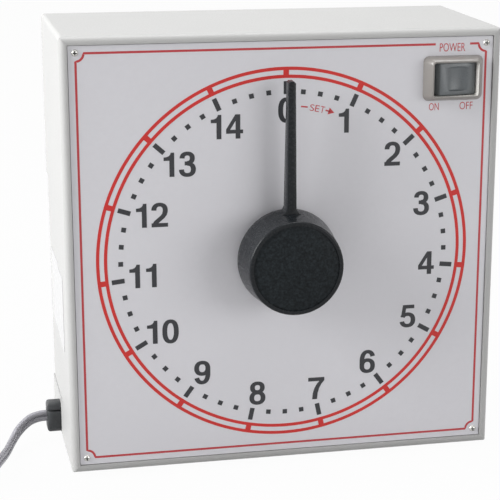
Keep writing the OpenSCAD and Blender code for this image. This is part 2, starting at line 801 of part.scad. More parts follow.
module zero_switch() {
    lug_t = 1.5;
    color("#3a3a3a") {
        slab(micro_y, micro_t) translate([0, dial_z + micro_z]) difference() {
            translate([-micro_w / 2, 0]) square([micro_w, micro_h]);
            for (s = [-1, 1]) translate([s * stud_x, stud_z - dial_z - micro_z]) circle(stud_r + screw_fit);
        }
        for (y = [micro_y, micro_y + micro_t - lug_t]) slab(y, lug_t)
            translate([lever_pin.x, dial_z + lever_pin.y]) {
                circle(1.8);
                translate([-1.8, 0]) square([3.6, 2.5]);
            }
        rod(lever_pin.x, micro_y + eps, dial_z + lever_pin.y, lever_pin_r, micro_t - 2 * eps);
        translate([-micro_w / 5, micro_y + micro_t / 2, dial_z + micro_z - plunger_out])
            cylinder(r = 1, h = plunger_out + 1);
    }
}

module zero_switch_lever() {
    color("silver") slab(micro_y + 2, micro_t - 4) translate([lever_pin.x, dial_z + lever_pin.y]) difference() {
        union() {
            circle(1.3);
            rotate(lever_slope) translate([0, -lever_t / 2]) square([lever_reach, lever_t]);
        }
        circle(lever_pin_r + run_fit);
    }
}

// ---------- buzzer ----------

module buzzer_core() {
    color("slategray") {
        slab(back_y, buzzer_t) translate([0, buzzer_z]) square([buzzer_w, buzzer_h], center = true);
        slab(back_y + buzzer_t, buzzer_d) translate([(buzzer_t - buzzer_w) / 2, buzzer_z])
            square([buzzer_t, buzzer_h * 0.7], center = true);
        rod(buzzer_pole_x, back_y + buzzer_t - 1, buzzer_z, buzzer_pole_r, buzzer_d + 0.5);
    }
}

module buzzer_coil() {
    color("firebrick") turned(buzzer_pole_x, back_y + buzzer_t, buzzer_z)
        translate([buzzer_pole_r + part_fit, 0]) square([buzzer_coil_w, buzzer_d - 1.5]);
}

module buzzer_reed() {
    color("silver") slab(back_y + buzzer_t + buzzer_d, reed_t) translate([-buzzer_w / 2, buzzer_z - reed_w / 2])
        square([buzzer_w / 2 + buzzer_pole_x + buzzer_coil_w, reed_w]);
}

// ---------- terminals ----------

module terminal_block() {
    color("ivory") difference() {
        union() {
            translate([terminal_x, relief_y - terminal_d / 2, floor_z])
                cube([terminal_count * terminal_pitch, terminal_d, terminal_h * 0.4]);
            for (k = [0:terminal_count - 1]) translate([terminal_x + (k + 0.1) * terminal_pitch,
                relief_y - terminal_d * 0.4, floor_z]) cube([terminal_pitch * 0.8, terminal_d * 0.8, terminal_h]);
        }
        for (k = [0:terminal_count - 1])
            translate([terminal_x + (k + 0.5) * terminal_pitch, relief_y, floor_z + terminal_h * 0.65]) {
                cylinder(r = terminal_bore_r * 1.3, h = terminal_h);
                translate([0, -terminal_d, 0]) rotate([-90, 0, 0]) cylinder(r = terminal_bore_r, h = 2 * terminal_d);
            }
    }
}

// ---------- power switch ----------

module bezel_step(y, grow, rise) {
    slab(y, 0.1) translate([switch_at.x, switch_at.z])
        rounded_rect(well_w + 2 * grow, well_h + 2 * rise, 1.5 + rise / 2);
}

module switch_bezel() {
    color("antiquewhite") difference() {
        hull($fn = 32) {
            bezel_step(face_y - 0.1, bezel_lip + bezel_spread, bezel_lip + bezel_rise);
            bezel_step(face_y - bezel_h + 1, bezel_lip + 0.3, bezel_lip + 0.3);
            bezel_step(face_y - bezel_h, bezel_lip - 0.4, bezel_lip - 0.4);
        }
        slab(face_y - bezel_h - 1, bezel_h + 2) translate([switch_at.x, switch_at.z])
            rounded_rect(well_w, well_h, 1);
    }
}

module power_rocker() {
    dish_r = (shoulder_x * shoulder_x + dish_deep * dish_deep) / (2 * dish_deep);
    pin_z = rocker_half_h + pin_out;
    color("#3d4244") translate([switch_at.x, pivot_y, switch_at.z]) rotate([0, 0, rocker_tilt]) {
        difference() {
            translate([0, 0, -rocker_half_h]) linear_extrude(2 * rocker_half_h)
                polygon([[-rocker_half, -1.5], [-shoulder_x, -shoulder_y], [shoulder_x, -shoulder_y],
                    [rocker_half, -1.5], [rocker_half - 0.4, 2.5], [0.4 - rocker_half, 2.5]]);
            translate([0, dish_deep - shoulder_y - dish_r, dish_rim - rocker_half_h])
                cylinder(r = dish_r, h = 2 * (rocker_half_h - dish_rim));
        }
        translate([0, 0, -pin_z]) cylinder(r = rocker_pin_r, h = 2 * pin_z);
    }
}

module power_switch_body() {
    color("#35383a") difference() {
        union() {
            slab(face_y, body_back_y - face_y) translate([switch_at.x, switch_at.z])
                rounded_rect(body_w, body_h, 1);
            for (s = [-1, 1]) translate([switch_at.x + s * (body_w / 2 + 0.5), plate_back_y + 3, switch_at.z])
                cube([2, 6, 7], center = true);
        }
        slab(face_y - 1, pivot_y + well_back - face_y + 1) translate([switch_at.x, switch_at.z])
            square([well_w, well_h], center = true);
        translate([switch_at.x, pivot_y, switch_at.z - body_h])
            cylinder(r = rocker_pin_r + run_fit, h = 2 * body_h);
    }
}

module power_switch_tabs() {
    color("goldenrod") for (k = [-1:1])
        translate([switch_at.x + 7 * k, body_back_y + 4.5, switch_at.z]) cube([0.8, 9, 6.3], center = true);
}

// ---------- strain relief, cord and plug ----------

// Outline of the outer block from above or from the front, its outer corners rounded
module relief_outline(width) {
    rotate(90) translate([0, relief_out]) mirror([0, 1]) plan(width, relief_out, relief_round);
}

module relief() {
    difference() {
        union() {
            intersection() {
                translate([-side_x - relief_out, relief_y, relief_z]) rotate([90, 0, 90])
                    linear_extrude(relief_out) rounded_rect(relief_w, relief_h, relief_round + 0.9);
                translate([-side_x, relief_y + relief_w / 2, relief_z]) rotate([90, 0, 0])
                    linear_extrude(relief_w) relief_outline(relief_h);
                translate([-side_x, relief_y, relief_z - relief_h / 2])
                    linear_extrude(relief_h) relief_outline(relief_w);
            }
            translate([-side_x - 1, relief_y, relief_z]) rotate([0, 90, 0]) {
                cylinder(r = relief_neck_r - fixed_fit, h = case_wall + 3);
            }
            intersection() {
                translate([-side_x + case_wall, relief_y, relief_z]) rotate([0, 90, 0])
                    cylinder(r = relief_neck_r + 1.2, h = 2);
                translate([-side_x, relief_y - relief_w, relief_z - 3]) cube(2 * relief_w);
            }
        }
        translate([-side_x - relief_out - 1, relief_y, relief_z]) rotate([0, 90, 0])
            cylinder(r = cord_r + part_fit, h = relief_pocket + 1);
    }
}

module strain_relief_cap() {
    color("#4a4d50") intersection() {
        relief();
        translate([-side_x - 20, relief_y - 20, seam_z + seam_gap / 2]) cube(40);
    }
}

module strain_relief_body() {
    color("#2a2c2e") intersection() {
        relief();
        translate([-side_x - 20, relief_y - 20, seam_z - seam_gap / 2 - 40]) cube(40);
    }
}

module cord() {
    color("#85878c") swept(lead_route, cord_r);
}

module cord_coil() {
    color("#85878c") translate([coil_at.x, coil_at.y, coil_lift]) rotate_extrude()
        translate([coil_in_r - cord_t / 2, 0]) square([coil_out_r - coil_in_r + cord_t, coil_h]);
}

module cord_tail() {
    color("#85878c") swept(tail_route, cord_r);
}

module cord_tie() {
    inner = [coil_out_r - coil_in_r + cord_t + 0.6, coil_h + 0.2];
    color("#222222") translate([coil_at.x, coil_at.y, coil_lift + coil_h / 2]) rotate(tie_angle)
        translate([(coil_in_r + coil_out_r) / 2, tie_w / 2, 0]) rotate([90, 0, 0])
        linear_extrude(tie_w) difference() {
            square(inner + [2, 2] * tie_t, center = true);
            square(inner, center = true);
        }
}

module at_plug() {
    last = tail_route[len(tail_route) - 1];
    way = last - tail_route[len(tail_route) - 2];
    translate(last) rotate([0, 0, atan2(way.y, way.x) - 90]) children();
}

module plug_body() {
    color("#2a2c2e") at_plug() {
        rotate([-90, 0, 0]) cylinder(r1 = cord_r + 1, r2 = cord_r + 4, h = plug_neck_l);
        translate([0, plug_neck_l + plug_l, 0]) rotate([90, 0, 0]) linear_extrude(plug_l)
            rounded_rect(plug_w, plug_t, 5);
    }
}

module plug_blades() {
    color("goldenrod") at_plug() for (s = [-1, 1])
        translate([s * blade_spacing / 2, plug_neck_l + plug_l, 0]) difference() {
            translate([-0.75, 0, -3.175]) cube([1.5, blade_l, 6.35]);
            translate([-2, blade_l - 4, 0]) rotate([0, 90, 0]) cylinder(r = 1.6, h = 4);
        }
}

housing();
rear_cover();
rear_cover_screws();
rubber_feet();
face_plate();
face_screws();
knob_pointer();
knob_disc();
knob_set_screw();
arbor();
main_wheel();
clutch_spring();
zero_cam();
arbor_clip();
front_bushing();
bushing_nut();
movement_front_plate();
movement_rear_plate();
movement_pillars();
movement_screws();
rear_bearing();
gearbox();
motor_can();
motor_pinion();
zero_switch();
zero_switch_lever();
buzzer_core();
buzzer_coil();
buzzer_reed();
terminal_block();
switch_bezel();
power_rocker();
power_switch_body();
power_switch_tabs();
strain_relief_cap();
strain_relief_body();
cord();
cord_coil();
cord_tail();
cord_tie();
plug_body();
plug_blades();
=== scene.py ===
"""Countdown timer: finishes, printed dial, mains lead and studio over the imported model."""

import json
import math

import bmesh
import bpy
from bpy.props import FloatProperty, FloatVectorProperty, PointerProperty
from mathutils import Matrix, Vector


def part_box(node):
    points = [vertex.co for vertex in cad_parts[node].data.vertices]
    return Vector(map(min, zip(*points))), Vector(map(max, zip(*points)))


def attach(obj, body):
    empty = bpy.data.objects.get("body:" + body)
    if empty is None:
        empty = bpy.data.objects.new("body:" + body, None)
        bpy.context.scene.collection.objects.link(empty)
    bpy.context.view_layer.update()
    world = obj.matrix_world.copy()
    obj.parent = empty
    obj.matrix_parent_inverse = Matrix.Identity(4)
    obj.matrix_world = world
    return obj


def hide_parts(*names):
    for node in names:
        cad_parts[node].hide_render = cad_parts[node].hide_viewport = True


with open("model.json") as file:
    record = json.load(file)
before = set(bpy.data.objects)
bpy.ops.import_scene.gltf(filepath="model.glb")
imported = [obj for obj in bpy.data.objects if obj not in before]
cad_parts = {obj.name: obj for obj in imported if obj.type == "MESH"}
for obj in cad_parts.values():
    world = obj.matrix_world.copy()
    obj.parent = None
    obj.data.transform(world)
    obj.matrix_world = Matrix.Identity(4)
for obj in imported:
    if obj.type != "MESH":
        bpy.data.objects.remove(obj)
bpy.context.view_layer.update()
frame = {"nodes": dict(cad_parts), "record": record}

bl_info = {
    "name": "Countdown Timer",
    "version": (1, 0, 0),
    "blender": (4, 5, 0),
    "location": "View3D > Sidebar > Timer",
    "description": "Dresses the countdown timer with its finishes, printed dial and mains lead",
    "category": "Object",
}

MM = 0.001
MINUTES = 15
FACE_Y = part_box("face_plate")[0].y
DIAL = Vector((0.0, FACE_Y, (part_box("knob_disc")[0].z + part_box("knob_disc")[1].z) / 2))
PLATE_LOW, PLATE_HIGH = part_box("face_plate")
SIDE_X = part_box("housing")[0].x
SLOT_OF = {part["node"]: part["material_slot"] for part in frame["record"]["subparts"]}

# Middle line of the mains lead in millimetres: out of the case, down to the table and into the coil
LEAD_ROUTE = [
    (-106.5, 23, 12.2), (-111, 23, 12.3), (-117, 21.5, 11), (-122.5, 17.5, 7.6), (-126, 12, 4.6),
    (-129.5, 1.5, 3.2), (-133, -8, 3), (-136.5, -17, 3), (-140.5, -27, 3.5),
]
TAIL_ROUTE = [(-211.5, -1, 9), (-208, 8.5, 9), (-204.5, 18, 9)]
COIL_CENTRE = (-176, -14)
COIL_START = -20
COIL_INNER, COIL_OUTER = 25.2, 38.0
COIL_TURNS = 4
COIL_LOW, COIL_HIGH = 3.55, 9.25


def tone(red, green, blue):
    """A display colour from 0 to 255 as the linear colour that Blender's sockets take."""
    def linear(value):
        value /= 255
        return value / 12.92 if value <= 0.04045 else ((value + 0.055) / 1.055) ** 2.4
    return linear(red), linear(green), linear(blue)


def length(name, description, default):
    return FloatProperty(name=name, description=description, default=default, min=0.0,
                         precision=5, unit="LENGTH")


def colour(name, description, default):
    return FloatVectorProperty(name=name, description=description, default=default, size=3,
                               min=0.0, max=1.0, subtype="COLOR")


def power(name, description, default):
    return FloatProperty(name=name, description=description, default=default, min=0.0, unit="POWER")


class TimerPrint(bpy.types.PropertyGroup):
    """Sizes and inks of what is printed on the face plate"""

    ring_radius: length("Ring radius", "Middle of the outer red ring's line", 0.08705)
    ring_gap: length("Ring gap", "From the outer ring's line to the inner one's", 0.0036)
    ring_line: length("Ring line", "Width of the two rings' lines", 0.0015)
    bar_width: length("Bar width", "Width of the red bars between the rings", 0.0026)
    tick_outer: length("Tick outer end", "Outer end of a minute tick from the dial's centre", 0.0813)
    tick_length: length("Tick length", "Length of a minute tick", 0.0059)
    tick_width: length("Tick width", "Width of a minute tick", 0.0022)
    dot_radius: length("Dot radius", "Distance of the quarter-minute dots from the centre", 0.0766)
    dot_size: length("Dot size", "Side of a quarter-minute dot", 0.0022)
    numeral_height: length("Numeral height", "Height of the minute numerals", 0.0116)
    border_inset: length("Border inset", "Border line in from the plate's edge", 0.0033)
    border_line: length("Border line", "Width of the border line", 0.001)
    corner_radius: length("Corner radius", "Radius of the border's hollow corners", 0.0036)
    thickness: length("Print thickness", "Height of the ink above the plate", 0.00006)
    black_ink: colour("Black ink", "Colour of the numerals and ticks", tone(40, 41, 46))
    red_ink: colour("Red ink", "Colour of the rings", tone(214, 44, 40))
    line_ink: colour("Line ink", "Colour of the border and the words", tone(196, 62, 67))


class TimerLead(bpy.types.PropertyGroup):
    """Sizes and colours of the mains lead and its plug"""

    strand_radius: length("Strand radius", "Radius of one of the cord's two strands", 0.00144)
    strand_offset: length("Strand offset", "From the cord's middle to a strand's middle", 0.00136)
    step: length("Step", "Distance between the rings of points along the cord", 0.0022)
    cord_colour: colour("Cord colour", "Colour of the cord's vinyl", tone(164, 163, 170))
    plug_colour: colour("Plug colour", "Colour of the plug and the tie", tone(38, 40, 42))


class TimerFinish(bpy.types.PropertyGroup):
    """Colours of the case, the face and the controls"""

    case_colour: colour("Case", "Colour of the moulded case", tone(188, 188, 187))
    cover_colour: colour("Rear cover", "Colour of the rear cover", tone(182, 183, 181))
    plate_colour: colour("Face plate", "Colour of the enamelled face plate", tone(229, 228, 233))
    knob_colour: colour("Knob", "Colour of the knob and pointer", tone(30, 33, 36))
    disc_colour: colour("Knob disc", "Colour of the knob's inlaid disc", tone(38, 43, 46))
    bezel_colour: colour("Switch bezel", "Colour of the switch's collar", tone(142, 138, 134))
    rocker_colour: colour("Rocker", "Colour of the power rocker", tone(104, 109, 112))
    bushing_colour: colour("Cord bushing", "Colour of the strain relief", tone(66, 68, 70))


class TimerStage(bpy.types.PropertyGroup):
    """Light on the timer and the floor it stands on"""

    left_power: power("Left light", "Power of the large light on the left", 42.0)
    top_power: power("Top light", "Power of the light overhead", 17.0)
    front_power: power("Front light", "Power of the light in front on the right", 16.0)
    fill: FloatProperty(name="Fill", description="Strength of the even light all round",
                        default=0.2, min=0.0)
    floor_colour: colour("Floor", "Colour of the floor", tone(180, 180, 180))


# ---------- working on meshes ----------

def turned(angle, axis):
    """A turn by an angle in degrees."""
    return Matrix.Rotation(math.radians(angle), 4, axis)


def clear():
    """Leave edit mode and deselect everything, so that the next operator acts on its own piece."""
    if bpy.context.object and bpy.context.object.mode != "OBJECT":
        bpy.ops.object.mode_set(mode="OBJECT")
    bpy.ops.object.select_all(action="DESELECT")


def pick(*objs):
    """Make these objects the whole selection, with the first one active."""
    clear()
    for obj in objs:
        obj.select_set(True)
    bpy.context.view_layer.objects.active = objs[0]
    return objs[0]


def edit(obj, kind, action="DESELECT"):
    """Enter edit mode on obj among its VERT, EDGE or FACE, with none or all of them selected."""
    if bpy.context.object is not obj or obj.mode != "EDIT":
        pick(obj)
        bpy.ops.object.mode_set(mode="EDIT")
    bpy.ops.mesh.select_mode(type=kind)
    bpy.ops.mesh.select_all(action=action)


def choose(items, obj, test):
    found = 0
    for item in items:
        if test(item):
            item.select_set(True)
            found += 1
    if not found:
        raise RuntimeError(f"{obj.name}: nothing to shape was found there")
    bmesh.update_edit_mesh(obj.data)


def faces_where(obj, test):
    """Select the faces whose middle and normal pass the test."""
    edit(obj, "FACE")
    choose(bmesh.from_edit_mesh(obj.data).faces, obj,
           lambda f: test(f.calc_center_median(), f.normal))


def edges_where(obj, test):
    """Select the edges whose middle and direction pass the test."""
    edit(obj, "EDGE")
    choose(bmesh.from_edit_mesh(obj.data).edges, obj,
           lambda e: test((e.verts[0].co + e.verts[1].co) / 2,
                          (e.verts[1].co - e.verts[0].co).normalized()))


def round_edges(obj, test, offset, segments):
    """Bevel the edges whose middle and direction pass the test."""
    edges_where(obj, test)
    bpy.ops.mesh.bevel(offset=offset, segments=segments, affect="EDGES")
    bpy.ops.object.mode_set(mode="OBJECT")


def cut_across(obj, places):
    """Cut the mesh into slices at these places along Y."""
    for y in places:
        edit(obj, "FACE", "SELECT")
        bpy.ops.mesh.bisect(plane_co=(0, y, 0), plane_no=(0, 1, 0))


def raise_ribs(obj, spans, height, facing):
    """Raise the faces in each span along Y whose normal passes the test facing."""
    for low, high in spans:
        faces_where(obj, lambda middle, normal: low < middle.y < high and facing(normal))
        bpy.ops.mesh.extrude_region_shrink_fatten(TRANSFORM_OT_shrink_fatten={"value": -height})
    bpy.ops.object.mode_set(mode="OBJECT")


def settle(obj, name=None):
    """Apply the object's place to its mesh and leave it at the origin."""
    pick(obj)
    bpy.ops.object.transform_apply(location=True, rotation=True, scale=True)
    if name:
        obj.name = name
        obj.data.name = name
    return obj


def primitive(kind, name=None, scale=(1, 1, 1), **settings):
    """A simple solid or sheet, with its place and scale applied to its mesh."""
    clear()
    getattr(bpy.ops.mesh, f"primitive_{kind}_add")(**settings)
    bpy.context.object.scale = scale
    return settle(bpy.context.object, name)


def modified(obj, kind, **settings):
    """Apply one modifier with these settings to the object's mesh."""
    pick(obj)
    modifier = obj.modifiers.new(kind, kind)
    for name, value in settings.items():
        setattr(modifier, name, value)
    bpy.ops.object.modifier_apply(modifier=modifier.name)
    return obj


def combined(whole, other, operation, **settings):
    """Unite a solid with another one, or cut the other one out of it, and remove the other one."""
    modified(whole, "BOOLEAN", operation=operation, solver="EXACT", object=other, **settings)
    bpy.data.objects.remove(other)
    return whole


def tidy_mesh(obj, merge=1e-6):
    """Merge doubled points and turn every face outwards."""
    pick(obj)
    bpy.ops.object.mode_set(mode="EDIT")
    bpy.ops.mesh.select_all(action="SELECT")
    bpy.ops.mesh.remove_doubles(threshold=merge)
    bpy.ops.mesh.normals_make_consistent(inside=False)
    bpy.ops.object.mode_set(mode="OBJECT")
    return obj


def smooth(obj, angle=35):
    pick(obj)
    bpy.ops.object.shade_smooth_by_angle(angle=math.radians(angle))
    return obj


def joined(objs, name):
    """Join the pieces of one print or moulding into a single object."""
    pick(*objs)
    if len(objs) > 1:
        bpy.ops.object.join()
    objs[0].name = name
    objs[0].data.name = name
    return objs[0]


def moulded(pieces, name, place, angle):
    """Join the pieces of one moulding, put it in its place and shade its curves smooth."""
    obj = joined(pieces, name)
    obj.data.transform(place)
    return smooth(tidy_mesh(obj), angle)


def copy_of(obj, matrix):
    """A copy with its own mesh, placed by matrix in its points."""
    twin = obj.copy()
    twin.data = obj.data.copy()
    twin.data.transform(matrix)
    bpy.context.collection.objects.link(twin)
    return twin


def dress(obj, body, slot, *nodes, finish=None):
    """Give a finished piece its finish, the slot's own unless another is named, attach it to its
    body and hide the CAD nodes it stands for.
    """
    obj.data.materials.clear()
    obj.data.materials.append(finish_named(finish or slot))
    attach(obj, body)
    if nodes:
        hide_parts(*nodes)
    return obj


def softened(node, name, width, angle):
    """A merged copy of a CAD node with its edges rounded over and its curves shaded smooth."""
    obj = bpy.data.objects.new(name, frame["nodes"][node].data.copy())
    bpy.context.collection.objects.link(obj)
    pick(obj)
    bpy.ops.object.mode_set(mode="EDIT")
    bpy.ops.mesh.select_all(action="SELECT")
    bpy.ops.mesh.remove_doubles(threshold=2e-6)
    bpy.ops.mesh.dissolve_limited(angle_limit=math.radians(0.3))
    bpy.ops.object.mode_set(mode="OBJECT")
    bpy.ops.object.shade_smooth()
    modified(obj, "BEVEL", width=width, segments=2, limit_method="ANGLE",
             angle_limit=math.radians(angle))
    return smooth(obj, angle)


# ---------- finishes ----------

# Numbers of the colour sockets in a mixing node: its two inputs and its result
MIX_FIRST, MIX_SECOND, MIX_RESULT = 6, 7, 2
NOISE_LOW, NOISE_HIGH = 0.35, 0.65


def material_nodes(name):
    """A new node material, its node tree and its surface shader."""
    plain = bpy.data.materials.get(name)
    if plain:
        plain.name = f"{name}_plain"
    material = bpy.data.materials.new(name)
    material.use_nodes = True
    tree = material.node_tree
    return material, tree, tree.nodes["Principled BSDF"]


def set_inputs(tree, node, inputs):
    """Give each input that is named its constant, or its link from another node's output."""
    for name, value in inputs.items():
        if isinstance(value, bpy.types.NodeSocket):
            tree.links.new(value, node.inputs[name])
        else:
            node.inputs[name].default_value = value


def add_node(tree, kind, inputs, **settings):
    """A new shader node with its settings and its inputs."""
    node = tree.nodes.new(f"ShaderNode{kind}")
    for name, value in settings.items():
        setattr(node, name, value)
    set_inputs(tree, node, inputs)
    return node


def noise(tree, size, detail=3.0, stretch=(1, 1, 1), source=None):
    """Noise whose features are size metres across, on the object's own coordinates."""
    if source is None:
        source = add_node(tree, "TexCoord", {}).outputs["Object"]
    if stretch != (1, 1, 1):
        source = add_node(tree, "Mapping", {"Scale": stretch, "Vector": source}).outputs["Vector"]
    node = add_node(tree, "TexNoise", {"Scale": 1 / size, "Detail": detail, "Vector": source})
    return node.outputs["Fac"]


def spread(tree, value, low, high):
    """Map the middle of a noise onto low to high."""
    node = add_node(tree, "MapRange", {"From Min": NOISE_LOW, "From Max": NOISE_HIGH, "To Min": low,
                                       "To Max": high, "Value": value})
    return node.outputs["Result"]


def blend(tree, factor, *colours):
    """Mix two colours, each a constant or another node's output, by factor."""
    first, second = (value if isinstance(value, bpy.types.NodeSocket) else (*value, 1.0)
                     for value in colours)
    inputs = {"Factor": factor, MIX_FIRST: first, MIX_SECOND: second}
    return add_node(tree, "Mix", inputs, data_type="RGBA").outputs[MIX_RESULT]


def shade(base, factor):
    return tuple(min(1.0, channel * factor) for channel in base)


def relief(tree, shader, height, depth):
    """Bump of a real depth in metres."""
    bump = add_node(tree, "Bump", {"Distance": depth, "Strength": 1.0, "Height": height})
    set_inputs(tree, shader, {"Normal": bump.outputs["Normal"]})


def finish(name, base, low, high, patch, grain, depth, vary, metallic=0.0, stretch=(1, 1, 1),
           specular=0.5, coat=0.0):
    """Soft patches of two close tones, and a fine grain in the colour, the gloss and the relief."""
    material, tree, shader = material_nodes(name)
    coarse = spread(tree, noise(tree, patch), 0.0, 1.0)
    fine = noise(tree, grain, stretch=stretch)
    patches = blend(tree, coarse, shade(base, 1 - vary), shade(base, 1 + vary / 2))
    grained = blend(tree, spread(tree, fine, 0.0, 0.5), patches, shade(base, 1 - 1.6 * vary))
    set_inputs(tree, shader, {"Base Color": grained, "Roughness": spread(tree, fine, low, high),
                              "Metallic": metallic, "Specular IOR Level": specular})
    if coat:
        set_inputs(tree, shader, {"Coat Weight": coat, "Coat Roughness": 0.12})
    relief(tree, shader, fine, depth)
    return material


# Plated and turned metals: display colour, roughness, and the direction of the fine drawn lines
METALS = {
    "screw_steel": ((214, 213, 208), 0.26, (1, 1, 1)),
    "arbor_steel": ((200, 200, 200), 0.25, (1, 12, 1)),
    "spring_bronze": ((216, 180, 130), 0.25, (1, 1, 12)),
    "bushing_brass": ((222, 200, 146), 0.24, (1, 12, 1)),
    "frame_steel": ((200, 203, 206), 0.34, (1, 1, 12)),
    "gearbox_steel": ((190, 192, 188), 0.36, (1, 1, 12)),
    "motor_steel": ((176, 180, 184), 0.32, (1, 1, 12)),
    "buzzer_iron": ((150, 150, 148), 0.45, (1, 1, 12)),
    "blade_brass": ((220, 200, 150), 0.22, (1, 1, 12)),
}


def other_finishes(colours, lead, inks):
    """Colour, lowest and highest roughness, patch, grain, relief and variation of the others."""
    return {
        "case_plastic": (colours.case_colour, 0.42, 0.56, 0.06, 0.0008, 0.000012, 0.02),
        "cover_plastic": (colours.cover_colour, 0.5, 0.64, 0.05, 0.0009, 0.00003, 0.03),
        "foot_rubber": (tone(34, 34, 35), 0.7, 0.9, 0.008, 0.0004, 0.00003, 0.15),
        "face_enamel": (colours.plate_colour, 0.3, 0.42, 0.05, 0.0022, 0.000006, 0.015),
        "knob_plastic": (colours.knob_colour, 0.2, 0.32, 0.012, 0.0012, 0.000008, 0.12),
        "disc_plastic": (colours.disc_colour, 0.42, 0.7, 0.0012, 0.0009, 0.00008, 0.5),
        "gear_plastic": (tone(222, 205, 176), 0.35, 0.5, 0.01, 0.0007, 0.00001, 0.06),
        "cam_plastic": (tone(236, 232, 220), 0.4, 0.55, 0.01, 0.0007, 0.00001, 0.04),
        "switch_plastic": (tone(56, 58, 60), 0.4, 0.6, 0.008, 0.0007, 0.00001, 0.12),
        "coil_copper": (tone(196, 110, 66), 0.2, 0.45, 0.004, 0.00035, 0.00006, 0.2),
        "bezel_plastic": (colours.bezel_colour, 0.28, 0.42, 0.008, 0.0006, 0.00001, 0.03),
        # Near-white painted light on the inner walls of the switch's opening, far lighter than the
        # bezel's own colour
        "bezel_wall": (tone(250, 247, 242), 0.2, 0.3, 0.01, 0.0007, 0.00001, 0.02),
        "rocker_plastic": (colours.rocker_colour, 0.26, 0.4, 0.006, 0.0006, 0.00001, 0.1),
        "relief_nylon": (colours.bushing_colour, 0.3, 0.45, 0.004, 0.0005, 0.00002, 0.18),
        "tie_vinyl": (lead.plug_colour, 0.4, 0.6, 0.004, 0.0007, 0.00001, 0.15),
        "plug_vinyl": (lead.plug_colour, 0.38, 0.55, 0.01, 0.0006, 0.00003, 0.16),
        "black_ink": (inks.black_ink, 0.36, 0.5, 0.01, 0.0005, 0.000003, 0.06),
        "red_ink": (inks.red_ink, 0.36, 0.5, 0.01, 0.0005, 0.000003, 0.05),
        "line_ink": (inks.line_ink, 0.36, 0.5, 0.01, 0.0005, 0.000003, 0.05),
        "label_film": (tone(198, 198, 199), 0.16, 0.26, 0.015, 0.002, 0.00001, 0.015),
        # Near-black painted shade for the inside of the screws' cross recesses
        "screw_recess": (tone(44, 44, 47), 0.5, 0.7, 0.002, 0.0007, 0.00001, 0.1),
    }


# What sets a few of these finishes apart
SPECIAL = {
    "knob_plastic": {"specular": 0.2},
    "disc_plastic": {"specular": 0.12},
    "coil_copper": {"metallic": 0.8, "stretch": (1, 14, 1)},
    "bezel_plastic": {"coat": 0.2},
    "relief_nylon": {"specular": 0.3},
}


def cord_vinyl(base):
    """Vinyl with faint streaks along the cord, on the cord's own UV map in metres."""
    material, tree, shader = material_nodes("cord_vinyl")
    along = add_node(tree, "UVMap", {}, uv_map="along").outputs["UV"]
    streaks = noise(tree, 0.0012, stretch=(1.0, 0.12, 1.0), source=along)
    patches = spread(tree, noise(tree, 0.02, 2.0), 0.0, 1.0)
    toned = blend(tree, patches, shade(base, 0.92), shade(base, 1.05))
    set_inputs(tree, shader, {
        "Base Color": blend(tree, spread(tree, streaks, 0.0, 0.6), toned, shade(base, 0.8)),
        "Roughness": spread(tree, streaks, 0.2, 0.34)})
    relief(tree, shader, streaks, 0.00002)
    return material


def make_finishes(colours, lead, inks):
    """Every finish of the timer by its slot's name."""
    made = {}
    for name, (display, rough, stretch) in METALS.items():
        made[name] = finish(name, tone(*display), rough - 0.08, rough + 0.12, 0.02, 0.0004, 0.000004,
                            0.08, metallic=1.0, stretch=stretch)
    for name, row in other_finishes(colours, lead, inks).items():
        made[name] = finish(name, *row, **SPECIAL.get(name, {}))
    made["cord_vinyl"] = cord_vinyl(lead.cord_colour)
    return made


def finish_named(name):
    """A finish that the first operator has made."""
    material = bpy.data.materials.get(name)
    if material is None:
        raise RuntimeError(f"the finish {name} is missing: run the finishes first")
    return material


# ---------- camera ----------

LENS = {"sensor_width": 36, "lens": 122.296, "shift_x": -0.1004, "shift_y": 0.1, "clip_start": 0.01}
CAMERA_PLACE = (-0.167002, -0.775484, 0.302701)
CAMERA_TURN = (73.776, -0.363, -13.078)


class TIMER_OT_camera(bpy.types.Operator):
    """Stand the camera in front of the timer, a little to its left and above"""

    bl_idname = "timer.camera"
    bl_label = "Camera"

    def execute(self, context):
        data = bpy.data.cameras.new("studio_camera")
        for name, value in LENS.items():
            setattr(data, name, value)
        camera = bpy.data.objects.new("studio_camera", data)
        camera.location = CAMERA_PLACE
        camera.rotation_euler = [math.radians(a) for a in CAMERA_TURN]
        context.collection.objects.link(camera)
        context.scene.camera = camera
        return {"FINISHED"}


# ---------- mains lead, plug and tie ----------

def through(points, step):
    """A smooth line through points, cut into lengths of about step."""
    line = []
    padded = [points[0] * 2 - points[1], *points, points[-1] * 2 - points[-2]]
    for before, start, end, after in zip(padded, padded[1:], padded[2:], padded[3:]):
        count = max(2, round((end - start).length / step))
        for k in range(count):
            t = k / count
            line.append(0.5 * (2 * start + (end - before) * t
                               + (2 * before - 5 * start + 4 * end - after) * t * t
                               + (3 * start - before - 3 * end + after) * t ** 3))
    return [*line, points[-1]]


def coil_points(step):
    """The coil's middle line: inwards below, up one layer, and outwards on top."""
    points = []
    layer, rise = COIL_TURNS * 360, 180
    angle = 0.0
    while angle <= 2 * layer + rise:
        if angle < layer:
            share = angle / layer
            radius, height = COIL_OUTER + (COIL_INNER - COIL_OUTER) * share, COIL_LOW
        elif angle < layer + rise:
            share = (angle - layer) / rise
            radius = COIL_INNER
            height = COIL_LOW + (COIL_HIGH - COIL_LOW) * share * share * (3 - 2 * share)
        else:
            share = (angle - layer - rise) / layer
            radius, height = COIL_INNER + (COIL_OUTER - COIL_INNER) * share, COIL_HIGH
        turn = math.radians(COIL_START - angle)
        points.append(Vector((COIL_CENTRE[0] + radius * math.cos(turn),
                              COIL_CENTRE[1] + radius * math.sin(turn), height)) * MM)
        angle += math.degrees(step / (radius * MM))
    return points


